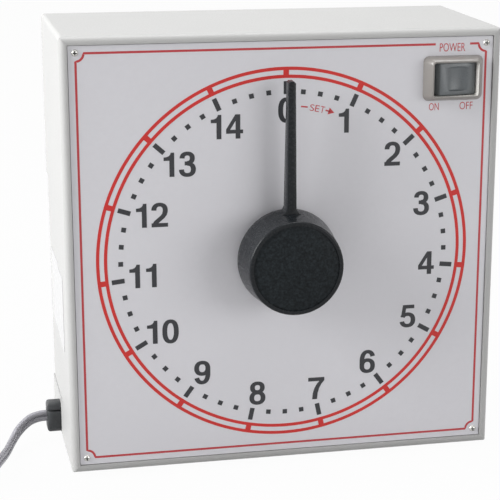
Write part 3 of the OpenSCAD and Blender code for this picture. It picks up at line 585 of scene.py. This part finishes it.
def lead_line(step):
    """The whole cord's middle line, in metres, from the case to the plug."""
    coil = coil_points(step * 1.4)
    lead = through([Vector(p) * MM for p in LEAD_ROUTE[:-1]] + [coil[0]], step)
    tail = through([coil[-1]] + [Vector(p) * MM for p in TAIL_ROUTE[1:]], step)
    return lead[:-1] + coil + tail[1:]


STRAND_STEPS = 12
WEB_ANGLE = 4


def two_strands(lead):
    """Outline of the flat cord's section, its wide side upright: two round strands and their web."""
    radius, offset = lead.strand_radius, lead.strand_offset
    waist = math.degrees(math.acos(min(1.0, offset / radius))) + WEB_ANGLE
    outline = []
    for side, half in ((1, 0), (-1, 180)):
        for k in range(STRAND_STEPS + 1):
            turn = math.radians(-90 + waist + (360 - 2 * waist) * k / STRAND_STEPS + half)
            outline.append((radius * math.cos(turn), side * offset + radius * math.sin(turn)))
    return outline


def swept(line, section):
    """Points and faces of a section drawn along a line, and the length run at each of its points."""
    points, run, count = [], [0.0], len(section)
    for i, middle in enumerate(line):
        way = (line[min(i + 1, len(line) - 1)] - line[max(i - 1, 0)]).normalized()
        side = way.cross(Vector((0, 0, 1))).normalized()
        up = side.cross(way)
        points += [middle + side * x + up * z for x, z in section]
        if i:
            run.append(run[-1] + (middle - line[i - 1]).length)
    faces = [tuple(range(count))[::-1]]
    for start in range(0, (len(line) - 1) * count, count):
        end = start + count
        for k in range(count):
            n = (k + 1) % count
            faces.append((start + k, start + n, end + n, end + k))
    faces.append(tuple((len(line) - 1) * count + k for k in range(count)))
    return points, faces, run


# Width on the UV map of one step round the section
SEAM_STEP = 0.0008


class TIMER_OT_cord(bpy.types.Operator):
    """Lay the flat mains cord out of the case, over the table and round its coil"""

    bl_idname = "timer.cord"
    bl_label = "Mains Cord"

    def execute(self, context):
        lead = context.scene.timer_lead
        line = lead_line(lead.step)
        section = two_strands(lead)
        count = len(section)
        points, faces, run = swept(line, section)
        mesh = bpy.data.meshes.new("mains_cord")
        mesh.from_pydata(points, [], faces)
        layer = mesh.uv_layers.new(name="along")
        for face in mesh.polygons:
            seam = len(face.vertices) == 4 and {0, count - 1} <= {v % count for v in face.vertices}
            for loop in face.loop_indices:
                vertex = mesh.loops[loop].vertex_index
                across = count if seam and vertex % count == 0 else vertex % count
                layer.data[loop].uv = (across * SEAM_STEP, run[vertex // count])
        cord = bpy.data.objects.new("mains_cord", mesh)
        context.collection.objects.link(cord)
        tidy_mesh(cord, 1e-7)
        smooth(cord, 42)
        dress(cord, "case", "cord_vinyl", "cord", "cord_coil", "cord_tail")
        return {"FINISHED"}


def at_plug():
    """Where the plug's neck begins, with +Y along the plug."""
    last, before = Vector(TAIL_ROUTE[-1]) * MM, Vector(TAIL_ROUTE[-2]) * MM
    way = last - before
    return Matrix.Translation(last) @ Matrix.Rotation(math.atan2(way.y, way.x) - math.pi / 2, 4, "Z")


GRIP_SIZE, GRIP_MIDDLE = (0.0245, 0.022, 0.0176), (0, 0.023, 0)
# Where the grip ends along the plug, and how far its outline is rounded there
GRIP_ENDS = {0.012: 0.0012, 0.034: 0.0008}
# Edges nearer to the plug's middle than both of these belong to the inset in the grip's ends
GRIP_HALF_X, GRIP_HALF_Z = 0.0113, 0.0078
# Spans of the raised ribs along the plug, and the cuts between the neck's
GRIP_RIBS = [(0.0165 + 0.003 * k, 0.0178 + 0.003 * k) for k in range(5)]
NECK_LENGTH = 0.0125
NECK_RIBS = [(0.0012 + 0.0022 * k, 0.0023 + 0.0022 * k) for k in range(4)]
NECK_CUTS = [0.0012 + 0.0011 * k for k in range(9)]


class TIMER_OT_plug(bpy.types.Operator):
    """Mould the plug: a ribbed neck and a grip with finger ridges"""

    bl_idname = "timer.plug"
    bl_label = "Plug"

    def execute(self, context):
        grip = primitive("cube", scale=GRIP_SIZE, size=1, location=GRIP_MIDDLE)
        round_edges(grip, lambda middle, way: abs(way.y) > 0.9, 0.0055, 6)
        faces_where(grip, lambda middle, normal: abs(normal.y) > 0.9)
        bpy.ops.mesh.inset(thickness=0.0016, depth=0.0)
        for end, offset in GRIP_ENDS.items():
            round_edges(grip, lambda middle, way: abs(middle.y - end) < 1e-5 and abs(way.y) < 0.1
                        and (abs(middle.x) > GRIP_HALF_X or abs(middle.z) > GRIP_HALF_Z), offset, 3)
        cut_across(grip, [y for span in GRIP_RIBS for y in span])
        raise_ribs(grip, GRIP_RIBS, 0.0006, lambda normal: abs(normal.x) > 0.5)

        neck = primitive("cone", vertices=40, radius1=0.0038, radius2=0.0066, depth=NECK_LENGTH,
                         location=(0, NECK_LENGTH / 2, 0), rotation=(-math.pi / 2, 0, 0))
        cut_across(neck, NECK_CUTS)
        raise_ribs(neck, NECK_RIBS, 0.0005, lambda normal: abs(normal.y) < 0.5)
        body = moulded([grip, neck], "plug_grip", at_plug(), 40)
        dress(body, "case", "plug_vinyl", "plug_body")
        return {"FINISHED"}


TIE_SIZE, TIE_WALL, TIE_TURN = (0.0172, 0.0056, 0.0124), 0.0006, -100
TWIST_RADIUS, TWIST_LENGTH, TWIST_PLACE = 0.0009, 0.011, (0.001, 0, 0.0063)


class TIMER_OT_tie(bpy.types.Operator):
    """Wrap the tie round the coil, with its twisted ends laid on top"""

    bl_idname = "timer.tie"
    bl_label = "Coil Tie"

    def execute(self, context):
        low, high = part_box("cord_tie")
        band = primitive("cube", scale=TIE_SIZE, size=1)
        round_edges(band, lambda middle, way: abs(way.y) > 0.9, 0.003, 6)
        faces_where(band, lambda middle, normal: abs(normal.y) > 0.9)
        bpy.ops.mesh.delete(type="FACE")
        modified(band, "SOLIDIFY", thickness=TIE_WALL, offset=-1)
        modified(band, "BEVEL", width=0.00015, segments=2)
        twist = primitive("cylinder", vertices=16, radius=TWIST_RADIUS, depth=TWIST_LENGTH,
                          location=TWIST_PLACE, rotation=(0, math.pi / 2, 0.5))
        round_edges(twist, lambda middle, way: abs(way.z) < 0.9
                    and abs(middle.x - TWIST_PLACE[0]) > 0.004, 0.0003, 2)
        place = Matrix.Translation((low + high) / 2) @ turned(TIE_TURN, "Z")
        tie = moulded([band, twist], "cord_tie_band", place, 40)
        dress(tie, "case", "tie_vinyl", "cord_tie")
        return {"FINISHED"}


# ---------- printed dial ----------

# Half the width of an upright and of a level stroke, for a digit one unit high
PEN = Vector((0.1025, 0.080))


def bowl(centre, reach, start, end, power=2.3):
    """Part of a squarish oval, from angle start to end in degrees."""
    count = max(2, round(abs(end - start) / 10))
    points = []
    for k in range(count + (abs(end - start) < 360)):
        turn = math.radians(start + (end - start) * k / count)
        c, s = math.cos(turn), math.sin(turn)
        points.append(Vector((centre[0] + reach[0] * math.copysign(abs(c) ** (2 / power), c),
                              centre[1] + reach[1] * math.copysign(abs(s) ** (2 / power), s))))
    return points


def pen_edge(points, closed, side, pen=PEN):
    """The line that the pen's edge draws on one side of a stroke's middle line."""
    edge, last = [], len(points) - 1
    for i, point in enumerate(points):
        before = points[i - 1] if i or closed else point
        after = points[(i + 1) % len(points)] if i < last or closed else point
        way = (after - before).normalized()
        across = Vector((-way.y, way.x)) * side
        reach = math.hypot(pen.x * across.x, pen.y * across.y)
        edge.append(point + Vector((pen.x ** 2 * across.x, pen.y ** 2 * across.y)) / reach)
    return edge


def stroke(points, pen=PEN):
    return [pen_edge(points, False, 1, pen) + pen_edge(points, False, -1, pen)[::-1]]


def loop(points, pen=PEN):
    return [pen_edge(points, True, 1, pen), pen_edge(points, True, -1, pen)]


def block(*corners):
    return [[Vector(c) for c in corners]]


def bar(left, low, right, high):
    return block((left, low), (right, low), (right, high), (left, high))


def digit_parts():
    """The shapes that make each digit, one unit high: closed outlines, the later ones holes."""
    six = [loop(bowl((0.39, 0.305), (0.24, 0.252), 0, 360)),
           stroke([Vector((0.15, 0.30)), Vector((0.149, 0.42))]
                  + bowl((0.401, 0.52), (0.252, 0.42), 180, 26))]
    half_turn = Matrix.Rotation(math.pi, 2)
    middle = Vector((0.39, 0.4965))
    nine = [[[half_turn @ (p - middle) + middle for p in line] for line in part] for part in six]
    return {
        "0": [loop(bowl((0.39, 0.4965), (0.2425, 0.4435), 0, 360, 2.4))],
        "1": [block((0.332, 0), (0.532, 0), (0.532, 1), (0.39, 1), (0.37, 0.93), (0.32, 0.865),
                    (0.23, 0.825), (0.097, 0.81), (0.097, 0.67), (0.332, 0.67))],
        "2": [stroke(bowl((0.375, 0.70), (0.235, 0.24), 180, -12)
                     + [Vector(p) for p in ((0.575, 0.53), (0.49, 0.42), (0.35, 0.305),
                                            (0.23, 0.205), (0.16, 0.09))]),
              bar(0.037, 0, 0.714, 0.165)],
        "3": [stroke(bowl((0.375, 0.745), (0.21, 0.195), 180, -90)),
              stroke(bowl((0.38, 0.285), (0.245, 0.232), 90, -180)),
              bar(0.27, 0.455, 0.40, 0.615)],
        "4": [[*block((0.038, 0.215), (0.038, 0.39), (0.42, 1), (0.625, 1), (0.625, 0.37),
                      (0.741, 0.37), (0.741, 0.215), (0.625, 0.215), (0.625, 0), (0.43, 0),
                      (0.43, 0.215)),
               *block((0.43, 0.37), (0.43, 0.735), (0.20, 0.37))]],
        "5": [block((0.165, 0.983), (0.085, 0.44), (0.25, 0.44), (0.27, 0.56), (0.305, 0.822),
                    (0.67, 0.822), (0.67, 0.983)),
              stroke(bowl((0.375, 0.31), (0.25, 0.257), 152, -168))],
        "6": six,
        "7": [block((0.035, 0.983), (0.744, 0.983), (0.744, 0.835), (0.62, 0.69), (0.52, 0.50),
                    (0.455, 0.27), (0.43, 0), (0.215, 0), (0.24, 0.27), (0.31, 0.50), (0.41, 0.68),
                    (0.525, 0.815), (0.035, 0.815))],
        "8": [loop(bowl((0.39, 0.745), (0.215, 0.195), 0, 360)),
              loop(bowl((0.39, 0.285), (0.245, 0.232), 0, 360))],
        "9": nine,
    }


def printed(outlines, name, depth=0.05):
    """A filled flat shape, upright in X and Z, from closed outlines with holes among them."""
    curve = bpy.data.curves.new(name, "CURVE")
    curve.dimensions = "2D"
    curve.fill_mode = "BOTH"
    curve.extrude = depth
    for outline in outlines:
        spline = curve.splines.new("POLY")
        spline.points.add(len(outline) - 1)
        for point, place in zip(spline.points, outline):
            point.co = (place[0], place[1], 0, 1)
        spline.use_cyclic_u = True
    obj = bpy.data.objects.new(name, curve)
    bpy.context.collection.objects.link(obj)
    pick(obj)
    bpy.ops.object.convert(target="MESH")
    obj = bpy.context.object
    obj.data.transform(turned(90, "X"))
    return tidy_mesh(obj, 1e-7)


def digit(character):
    """One digit, one unit high, its strokes united into a single solid."""
    whole, *others = [printed(part, f"digit_{character}") for part in digit_parts()[character]]
    for part in others:
        combined(whole, part, "UNION")
    return whole


def extent(obj):
    """The lowest and the highest corner of the object's points."""
    columns = list(zip(*(v.co for v in obj.data.vertices)))
    return Vector([min(column) for column in columns]), Vector([max(column) for column in columns])


def placed(obj, place, scale, turn=0.0):
    """Scale an upright print about its middle, turn it and put its middle at place."""
    low, high = extent(obj)
    obj.data.transform(Matrix.Translation((place[0], 0, place[1]))
                       @ turned(turn, "Y")
                       @ Matrix.Diagonal((scale[0], 1, scale[1], 1))
                       @ Matrix.Translation((-(low.x + high.x) / 2, 0, -(low.z + high.z) / 2)))
    return obj


# How deep a print's back lies in the plate
INK_SINK = 0.00001


def flattened(obj, inks):
    """Lay an upright print round the dial's centre, its back just inside the plate."""
    low, high = extent(obj)
    thin = (inks.thickness + INK_SINK) / (high.y - low.y)
    obj.data.transform(Matrix.Translation((DIAL.x, FACE_Y + INK_SINK, DIAL.z))
                       @ Matrix.Diagonal((1, thin, 1, 1)) @ Matrix.Translation((0, -high.y, 0)))
    return obj


# Middles of the numerals in millimetres from the dial's centre
NUMERAL_PLACES = {
    0: (0.2, 68.1), 1: (27.1, 62.3), 2: (50.5, 46.1), 3: (65.1, 22.0), 4: (68.3, -7.1),
    5: (59.8, -33.0), 6: (40.3, -54.4), 7: (15.3, -66.1), 8: (-13.3, -66.5), 9: (-39.6, -54.4),
    10: (-57.8, -33.3), 11: (-66.5, -6.1), 12: (-61.9, 22.2), 13: (-48.9, 45.0), 14: (-27.2, 61.4),
}
DIGIT_PITCH = 0.69
# Height of a round digit, which stands out past both ends of the unit
DIGIT_HEIGHT = 1.047


class TIMER_OT_numerals(bpy.types.Operator):
    """Print the minute numerals: each digit is drawn once and copied to its places"""

    bl_idname = "timer.numerals"
    bl_label = "Numerals"

    def execute(self, context):
        inks = context.scene.timer_print
        masters = {character: digit(character) for character in "0123456789"}
        size = inks.numeral_height / DIGIT_HEIGHT
        numerals = []
        for minute, (x, z) in NUMERAL_PLACES.items():
            digits = [copy_of(masters[c], Matrix.Translation((k * DIGIT_PITCH, 0, 0)))
                      for k, c in enumerate(str(minute))]
            numeral = placed(joined(digits, f"numeral_{minute}"), (x * MM, z * MM), (size, size))
            numerals.append(flattened(numeral, inks))
        for master in masters.values():
            bpy.data.objects.remove(master)
        dress(joined(numerals, "dial_numerals"), "case", "face_enamel", finish="black_ink")
        return {"FINISHED"}


def circle(radius, count=180, start=0.0, end=360.0):
    """Points on a circle about the dial's centre, clockwise from the top."""
    whole = end - start >= 360
    return [Vector((radius * math.sin(math.radians(start + (end - start) * k / count)),
                    radius * math.cos(math.radians(start + (end - start) * k / count))))
            for k in range(count + (not whole))]


class TIMER_OT_ring(bpy.types.Operator):
    """Print the red double ring with its fifteen bars, and the minute ticks and dots inside it"""

    bl_idname = "timer.ring"
    bl_label = "Ring, Ticks and Dots"

    def execute(self, context):
        inks = context.scene.timer_print
        half = inks.ring_line / 2
        outer, inner = inks.ring_radius, inks.ring_radius - inks.ring_gap
        outlines = [circle(outer + half, 240), circle(inner - half, 240)]
        bar_turn = math.degrees(inks.bar_width / 2 / outer)
        for k in range(MINUTES):
            low, high = k * 360 / MINUTES + bar_turn, (k + 1) * 360 / MINUTES - bar_turn
            outlines.append(circle(outer - half, 16, low, high)
                            + circle(inner + half, 16, low, high)[::-1])
        ring = flattened(printed(outlines, "minute_ring"), inks)
        dress(ring, "case", "face_enamel", finish="red_ink")

        tick = printed(bar(-inks.tick_width / 2, -inks.tick_length, inks.tick_width / 2, 0), "tick")
        reach = inks.dot_size / 2
        dot = printed(bar(-reach, -reach, reach, reach), "dot")
        marks = []
        for k in range(4 * MINUTES):
            turn = turned(k * 90 / MINUTES, "Y")
            first, radius = (dot, inks.dot_radius) if k % 4 else (tick, inks.tick_outer)
            marks.append(copy_of(first, turn @ Matrix.Translation((0, 0, radius))))
        bpy.data.objects.remove(tick)
        bpy.data.objects.remove(dot)
        marks = flattened(joined(marks, "minute_marks"), inks)
        dress(marks, "case", "face_enamel", finish="black_ink")
        return {"FINISHED"}


# Where the border's top line stops on both sides of the word, from the dial's centre
BORDER_GAP = (0.07, 0.0865)


class TIMER_OT_border(bpy.types.Operator):
    """Print the thin border line with its hollow corners and the gap for a word"""

    bl_idname = "timer.border"
    bl_label = "Border"

    def execute(self, context):
        inks = context.scene.timer_print
        right = PLATE_HIGH.x - inks.border_inset
        top = PLATE_HIGH.z - DIAL.z - inks.border_inset
        low = PLATE_LOW.z - DIAL.z + inks.border_inset
        corner = inks.corner_radius

        def hollow(x, z, start):
            return [Vector((x + corner * math.cos(math.radians(start + 10 * k)),
                            z + corner * math.sin(math.radians(start + 10 * k)))) for k in range(10)]

        line = [Vector((BORDER_GAP[1], top))] + hollow(right, top, 180) + hollow(right, low, 90) \
            + hollow(-right, low, 0) + hollow(-right, top, -90) + [Vector((BORDER_GAP[0], top))]
        pen = Vector((inks.border_line / 2, inks.border_line / 2))
        border = flattened(printed(stroke(line, pen), "border_line"), inks)
        dress(border, "case", "face_enamel", finish="line_ink")
        return {"FINISHED"}


# Left, low, right and high side of each word, in millimetres from the dial's centre
WORDS = {"POWER": (72.0, 92.7, 84.2, 96.5), "ON": (67.6, 65.7, 72.3, 69.1),
         "OFF": (82.4, 65.7, 88.7, 69.2)}
# The bent word and its arrow: radius in millimetres, the rest in degrees from the top
BENT_RADIUS = 69.9
BENT_START, BENT_PITCH = 10.0, 2.05
DASH, SHAFT, HEAD = (5.75, 8.3), (15.3, 17.0), 17.6
ARROW_PEN = Vector((0.00032, 0.00032))
ARROW_HEAD = ((-0.0013, 0.0016), (-0.0013, -0.0016), (0.0015, 0))


def word(text, left, low, right, high, inks, turn=0.0):
    """A word fitted to a box on the face, in millimetres from the dial's centre."""
    clear()
    bpy.ops.object.text_add(rotation=(math.pi / 2, 0, 0))
    obj = bpy.context.object
    obj.data.body = text
    obj.data.extrude = 0.02
    obj.data.offset = -0.006
    obj.data.resolution_u = 4
    bpy.ops.object.convert(target="MESH")
    obj = settle(bpy.context.object)
    least, most = extent(obj)
    scale = ((right - left) * MM / (most.x - least.x), (high - low) * MM / (most.z - least.z))
    placed(obj, ((left + right) / 2 * MM, (low + high) / 2 * MM), scale, turn)
    return flattened(tidy_mesh(obj, 1e-8), inks)


class TIMER_OT_words(bpy.types.Operator):
    """Print the words at the switch, and the setting arrow between 0 and 1"""

    bl_idname = "timer.words"
    bl_label = "Words"

    def execute(self, context):
        inks = context.scene.timer_print
        pieces = [word(text, *sides, inks) for text, sides in WORDS.items()]
        for k, letter in enumerate("SET"):
            turn = BENT_START + BENT_PITCH * k
            x, z = circle(BENT_RADIUS, 1, turn, turn)[0]
            pieces.append(word(letter, x - 1.0, z - 1.5, x + 1.0, z + 1.5, inks, turn))
        dash = circle(BENT_RADIUS * MM, 4, *DASH)
        shaft = circle(BENT_RADIUS * MM, 2, *SHAFT)
        head_turn = Matrix.Rotation(math.radians(-HEAD), 2)
        head = [head_turn @ Vector((x, z + BENT_RADIUS * MM)) for x, z in ARROW_HEAD]
        for shape in (stroke(dash, ARROW_PEN), stroke(shaft, ARROW_PEN), [head]):
            pieces.append(flattened(printed(shape, "arrow"), inks))
        dress(joined(pieces, "face_words"), "case", "face_enamel", finish="line_ink")
        return {"FINISHED"}


# ---------- case, controls and cord bushing ----------

def soften_all(table):
    """Put a softened and dressed copy in the place of each CAD node in the table."""
    for node, (name, body, width, angle) in table.items():
        dress(softened(node, name, width, angle), body, SLOT_OF[node], node)


# Half the width and height within which the bezel's faces belong to its opening, whose inner walls
# get painted light
OPENING_X, OPENING_Z = 0.0112, 0.0082


class TIMER_OT_controls(bpy.types.Operator):
    """Soften the edges of the knob with its pointer, the inlaid disc and the switch's bezel, and
    paint light on the walls of the bezel's opening
    """

    bl_idname = "timer.controls"
    bl_label = "Knob and Bezel"

    def execute(self, context):
        soften_all({
            "knob_pointer": ("knob_and_pointer", "dial_drive", 0.00045, 40),
            "knob_disc": ("knob_inlay", "dial_drive", 0.00012, 40),
            "switch_bezel": ("switch_collar", "case", 0.0004, 30),
        })
        # The inner walls of the opening take a near-white second finish: painted light
        collar = bpy.data.objects["switch_collar"]
        collar.data.materials.append(finish_named("bezel_wall"))
        middle = Vector(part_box("power_rocker")[0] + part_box("power_rocker")[1]) / 2
        faces_where(collar, lambda spot, normal: abs(normal.y) < 0.3
                    and abs(spot.x - middle.x) < OPENING_X and abs(spot.z - middle.z) < OPENING_Z)
        collar.active_material_index = 1
        bpy.ops.object.material_slot_assign()
        bpy.ops.object.mode_set(mode="OBJECT")
        return {"FINISHED"}


ROCKER_SIZE = (0.0198, 0.006, 0.0149)
ROCKER_REACH, ROCKER_NARROWING = 0.0045, 0.92
ROCKER_TURN = 9
DISH_RADIUS, DISH_WIDTH, DISH_FLOOR = 0.0119, 0.0113, -0.0068
PIN_RADIUS, PIN_LENGTH = 0.0015, 0.0171


class TIMER_OT_rocker(bpy.types.Operator):
    """Mould the rocker: a wedge that narrows to its front, a finger dish and two pivot pins"""

    bl_idname = "timer.rocker"
    bl_label = "Rocker"

    def execute(self, context):
        joint = next(j for j in frame["record"]["behaviour"]["joints"] if j["name"] == "rocker_tip")
        button = primitive("cube", scale=ROCKER_SIZE, size=1, location=(0, -0.0005, 0))
        faces_where(button, lambda middle, normal: normal.y < -0.9)
        bpy.ops.mesh.extrude_region_move(TRANSFORM_OT_translate={"value": (0, -ROCKER_REACH, 0)})
        bpy.ops.transform.resize(value=(ROCKER_NARROWING, 1, 1), center_override=(0, 0, 0))
        round_edges(button, lambda middle, way: middle.y < -0.0079
                    or (abs(middle.z) > 0.007 and middle.y < -0.003), 0.0005, 3)
        dish = primitive("cylinder", vertices=96, radius=DISH_RADIUS, depth=DISH_WIDTH,
                         location=(0, DISH_FLOOR - DISH_RADIUS, 0))
        round_edges(dish, lambda middle, way: abs(way.z) < 0.5, 0.0012, 4)
        combined(button, dish, "DIFFERENCE")
        pins = primitive("cylinder", vertices=32, radius=PIN_RADIUS, depth=PIN_LENGTH)
        round_edges(pins, lambda middle, way: abs(way.z) < 0.5, 0.0002, 2)
        place = Matrix.Translation(joint["pos_m"]) @ turned(ROCKER_TURN, "Z")
        button = moulded([button, pins], "rocker_button", place, 30)
        dress(button, "rocker", "rocker_plastic", "power_rocker")
        return {"FINISHED"}


SCREW_INSET = 0.0016
CROSS_SIZE = (0.0019, 0.0012, 0.00055)


class TIMER_OT_shell(bpy.types.Operator):
    """Soften the edges of the cord bushing, the feet and the plate's screws, and cut the screws'
    crosses with painted shade inside
    """

    bl_idname = "timer.shell"
    bl_label = "Bushing, Feet and Screws"

    def execute(self, context):
        soften_all({
            "strain_relief_cap": ("bushing_cap", "case", 0.0009, 40),
            "strain_relief_body": ("bushing_body", "case", 0.0009, 40),
            "rubber_feet": ("round_feet", "case", 0.0003, 40),
            "face_screws": ("plate_screws", "case", 0.00008, 40),
        })
        screws = bpy.data.objects["plate_screws"]
        low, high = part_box("face_screws")
        cross = primitive("cube", scale=CROSS_SIZE, size=1)
        edit(cross, "EDGE", "SELECT")
        bpy.ops.mesh.duplicate()
        bpy.ops.transform.rotate(value=math.pi / 2, orient_axis="Y", center_override=(0, 0, 0))
        bpy.ops.object.mode_set(mode="OBJECT")
        # The cross recesses' walls take a near-black finish: painted shade
        for obj in (cross, screws):
            obj.data.materials.append(finish_named("screw_recess"))
        for x in (low.x + SCREW_INSET, high.x - SCREW_INSET):
            for z in (low.z + SCREW_INSET, high.z - SCREW_INSET):
                combined(screws, copy_of(cross, Matrix.Translation((x, low.y, z))), "DIFFERENCE",
                         use_self=True, material_mode="TRANSFER")
        bpy.data.objects.remove(cross)
        return {"FINISHED"}


LABEL_MIDDLE = (SIDE_X - 0.00008, 0.018, 0.074)
LABEL_SIZE = (0.036, 0.064, 1)
LABEL_CORNER, LABEL_THICKNESS = 0.0015, 0.00012
# Where the side's shallow panel steps inwards, and how far
PANEL_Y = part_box("housing")[0].y + 0.0425
PANEL_DEPTH = 0.0006


class TIMER_OT_label(bpy.types.Operator):
    """Stick the bare glossy label on the case's left side"""

    bl_idname = "timer.label"
    bl_label = "Side Label"

    def execute(self, context):
        label = primitive("plane", "side_label", LABEL_SIZE, size=1, location=LABEL_MIDDLE,
                          rotation=(0, -math.pi / 2, 0))
        edit(label, "VERT", "SELECT")
        bpy.ops.mesh.bevel(offset=LABEL_CORNER, segments=4, affect="VERTICES")
        cut_across(label, (PANEL_Y - 0.0002, PANEL_Y + 0.0004))
        edit(label, "VERT")
        choose(bmesh.from_edit_mesh(label.data).verts, label, lambda v: v.co.y > PANEL_Y + 0.0003)
        bpy.ops.transform.translate(value=(PANEL_DEPTH, 0, 0))
        modified(label, "SOLIDIFY", thickness=LABEL_THICKNESS, offset=0)
        tidy_mesh(label, 1e-7)
        dress(label, "case", "case_plastic", finish="label_film")
        return {"FINISHED"}


# ---------- stage ----------

FLOOR_WHITE = 0.97
WHITE = (1, 1, 1, 1)
LIGHT_AIM = Vector((0, 0, 0.1))
# Place and size of each light in metres, and the setting that holds its power
LIGHTS = {
    "left_light": ((-1.6, -0.12, 0.8), 1.1, "left_power"),
    "top_light": ((0.2, 0.25, 1.7), 1.0, "top_power"),
    "front_light": ((1.4, -1.4, 0.25), 1.2, "front_power"),
}


def white_to_camera(tree):
    """1 for what the camera, a reflection or glass sees, and 0 for light that falls on things."""
    path = add_node(tree, "LightPath", {})
    either = path.outputs["Is Camera Ray"]
    for name in ("Is Glossy Ray", "Is Transmission Ray"):
        either = add_node(tree, "Math", {0: either, 1: path.outputs[name]},
                          operation="MAXIMUM").outputs[0]
    return either


def show_mixed(tree, output, factor, lighting, seen):
    """Feed the output with one shader for the light and another for the view, by factor."""
    mixed = add_node(tree, "MixShader", {"Fac": factor, 1: lighting, 2: seen})
    set_inputs(tree, tree.nodes[output], {"Surface": mixed.outputs["Shader"]})


class TIMER_OT_stage(bpy.types.Operator):
    """Set the pale floor, the white surroundings and the soft lights"""

    bl_idname = "timer.stage"
    bl_label = "Stage"

    def execute(self, context):
        stage = context.scene.timer_stage
        floor = primitive("grid", "floor", x_subdivisions=4, y_subdivisions=4, size=16)
        material, tree, shader = material_nodes("floor_paper")
        fibres = spread(tree, noise(tree, 0.004), 0.0, 1.0)
        paper = blend(tree, fibres, stage.floor_colour, shade(stage.floor_colour, 0.985))
        set_inputs(tree, shader, {"Base Color": paper, "Roughness": 0.9})
        glow = add_node(tree, "Emission", {"Strength": 1.0})
        share = add_node(tree, "Math", {0: white_to_camera(tree), 1: FLOOR_WHITE},
                         operation="MULTIPLY")
        show_mixed(tree, "Material Output", share.outputs[0], shader.outputs["BSDF"],
                   glow.outputs["Emission"])
        floor.data.materials.append(material)

        world = bpy.data.worlds.new("studio")
        context.scene.world = world
        world.use_nodes = True
        tree = world.node_tree
        even = tree.nodes["Background"]
        set_inputs(tree, even, {"Color": WHITE, "Strength": stage.fill})
        white = add_node(tree, "Background", {"Color": WHITE, "Strength": 1.0})
        show_mixed(tree, "World Output", white_to_camera(tree), even.outputs["Background"],
                   white.outputs["Background"])

        for name, (place, size, power) in LIGHTS.items():
            data = bpy.data.lights.new(name, "AREA")
            data.shape = "SQUARE"
            data.size = size
            data.energy = getattr(stage, power)
            light = bpy.data.objects.new(name, data)
            light.location = place
            light.rotation_euler = (LIGHT_AIM - Vector(place)).to_track_quat("-Z", "Y").to_euler()
            context.collection.objects.link(light)
        context.scene.view_settings.view_transform = "Standard"
        return {"FINISHED"}


# ---------- CAD pieces ----------

class TIMER_OT_finishes(bpy.types.Operator):
    """Make the timer's finishes and put them on the CAD nodes that stay in view"""

    bl_idname = "timer.finishes"
    bl_label = "Finishes"

    def execute(self, context):
        scene = context.scene
        made = make_finishes(scene.timer_finish, scene.timer_lead, scene.timer_print)
        for node, obj in frame["nodes"].items():
            if not obj.material_slots:
                obj.data.materials.append(made[SLOT_OF[node]])
            for slot in obj.material_slots:
                slot.material = made[SLOT_OF[node]]
        for material in list(bpy.data.materials):
            if material.name.endswith("_plain") and not material.users:
                bpy.data.materials.remove(material)
        return {"FINISHED"}


class TIMER_PT_panel(bpy.types.Panel):
    """The steps that dress the timer, in their order"""

    bl_idname = "TIMER_PT_panel"
    bl_label = "Countdown Timer"
    bl_space_type = "VIEW_3D"
    bl_region_type = "UI"
    bl_category = "Timer"

    def draw(self, context):
        column = self.layout.column()
        for step in STEPS:
            column.operator(step.bl_idname)
        for name, group in GROUPS.items():
            box = column.box()
            for setting in group.__annotations__:
                box.prop(getattr(context.scene, name), setting)


GROUPS = {"timer_print": TimerPrint, "timer_lead": TimerLead, "timer_finish": TimerFinish,
          "timer_stage": TimerStage}
STEPS = (
    TIMER_OT_camera, TIMER_OT_finishes, TIMER_OT_plug, TIMER_OT_tie, TIMER_OT_cord,
    TIMER_OT_numerals, TIMER_OT_ring, TIMER_OT_border, TIMER_OT_words, TIMER_OT_controls,
    TIMER_OT_rocker, TIMER_OT_shell, TIMER_OT_label, TIMER_OT_stage,
)


def register():
    for cls in (*GROUPS.values(), *STEPS, TIMER_PT_panel):
        bpy.utils.register_class(cls)
    for name, group in GROUPS.items():
        setattr(bpy.types.Scene, name, PointerProperty(type=group))


def unregister():
    for name in GROUPS:
        delattr(bpy.types.Scene, name)
    for cls in reversed((*GROUPS.values(), *STEPS, TIMER_PT_panel)):
        bpy.utils.unregister_class(cls)


def main():
    register()
    for step in STEPS:
        group, name = step.bl_idname.split(".")
        if getattr(getattr(bpy.ops, group), name)() != {"FINISHED"}:
            raise RuntimeError(f"{step.bl_label} did not finish")
    clear()


if __name__ == "__main__":
    main()
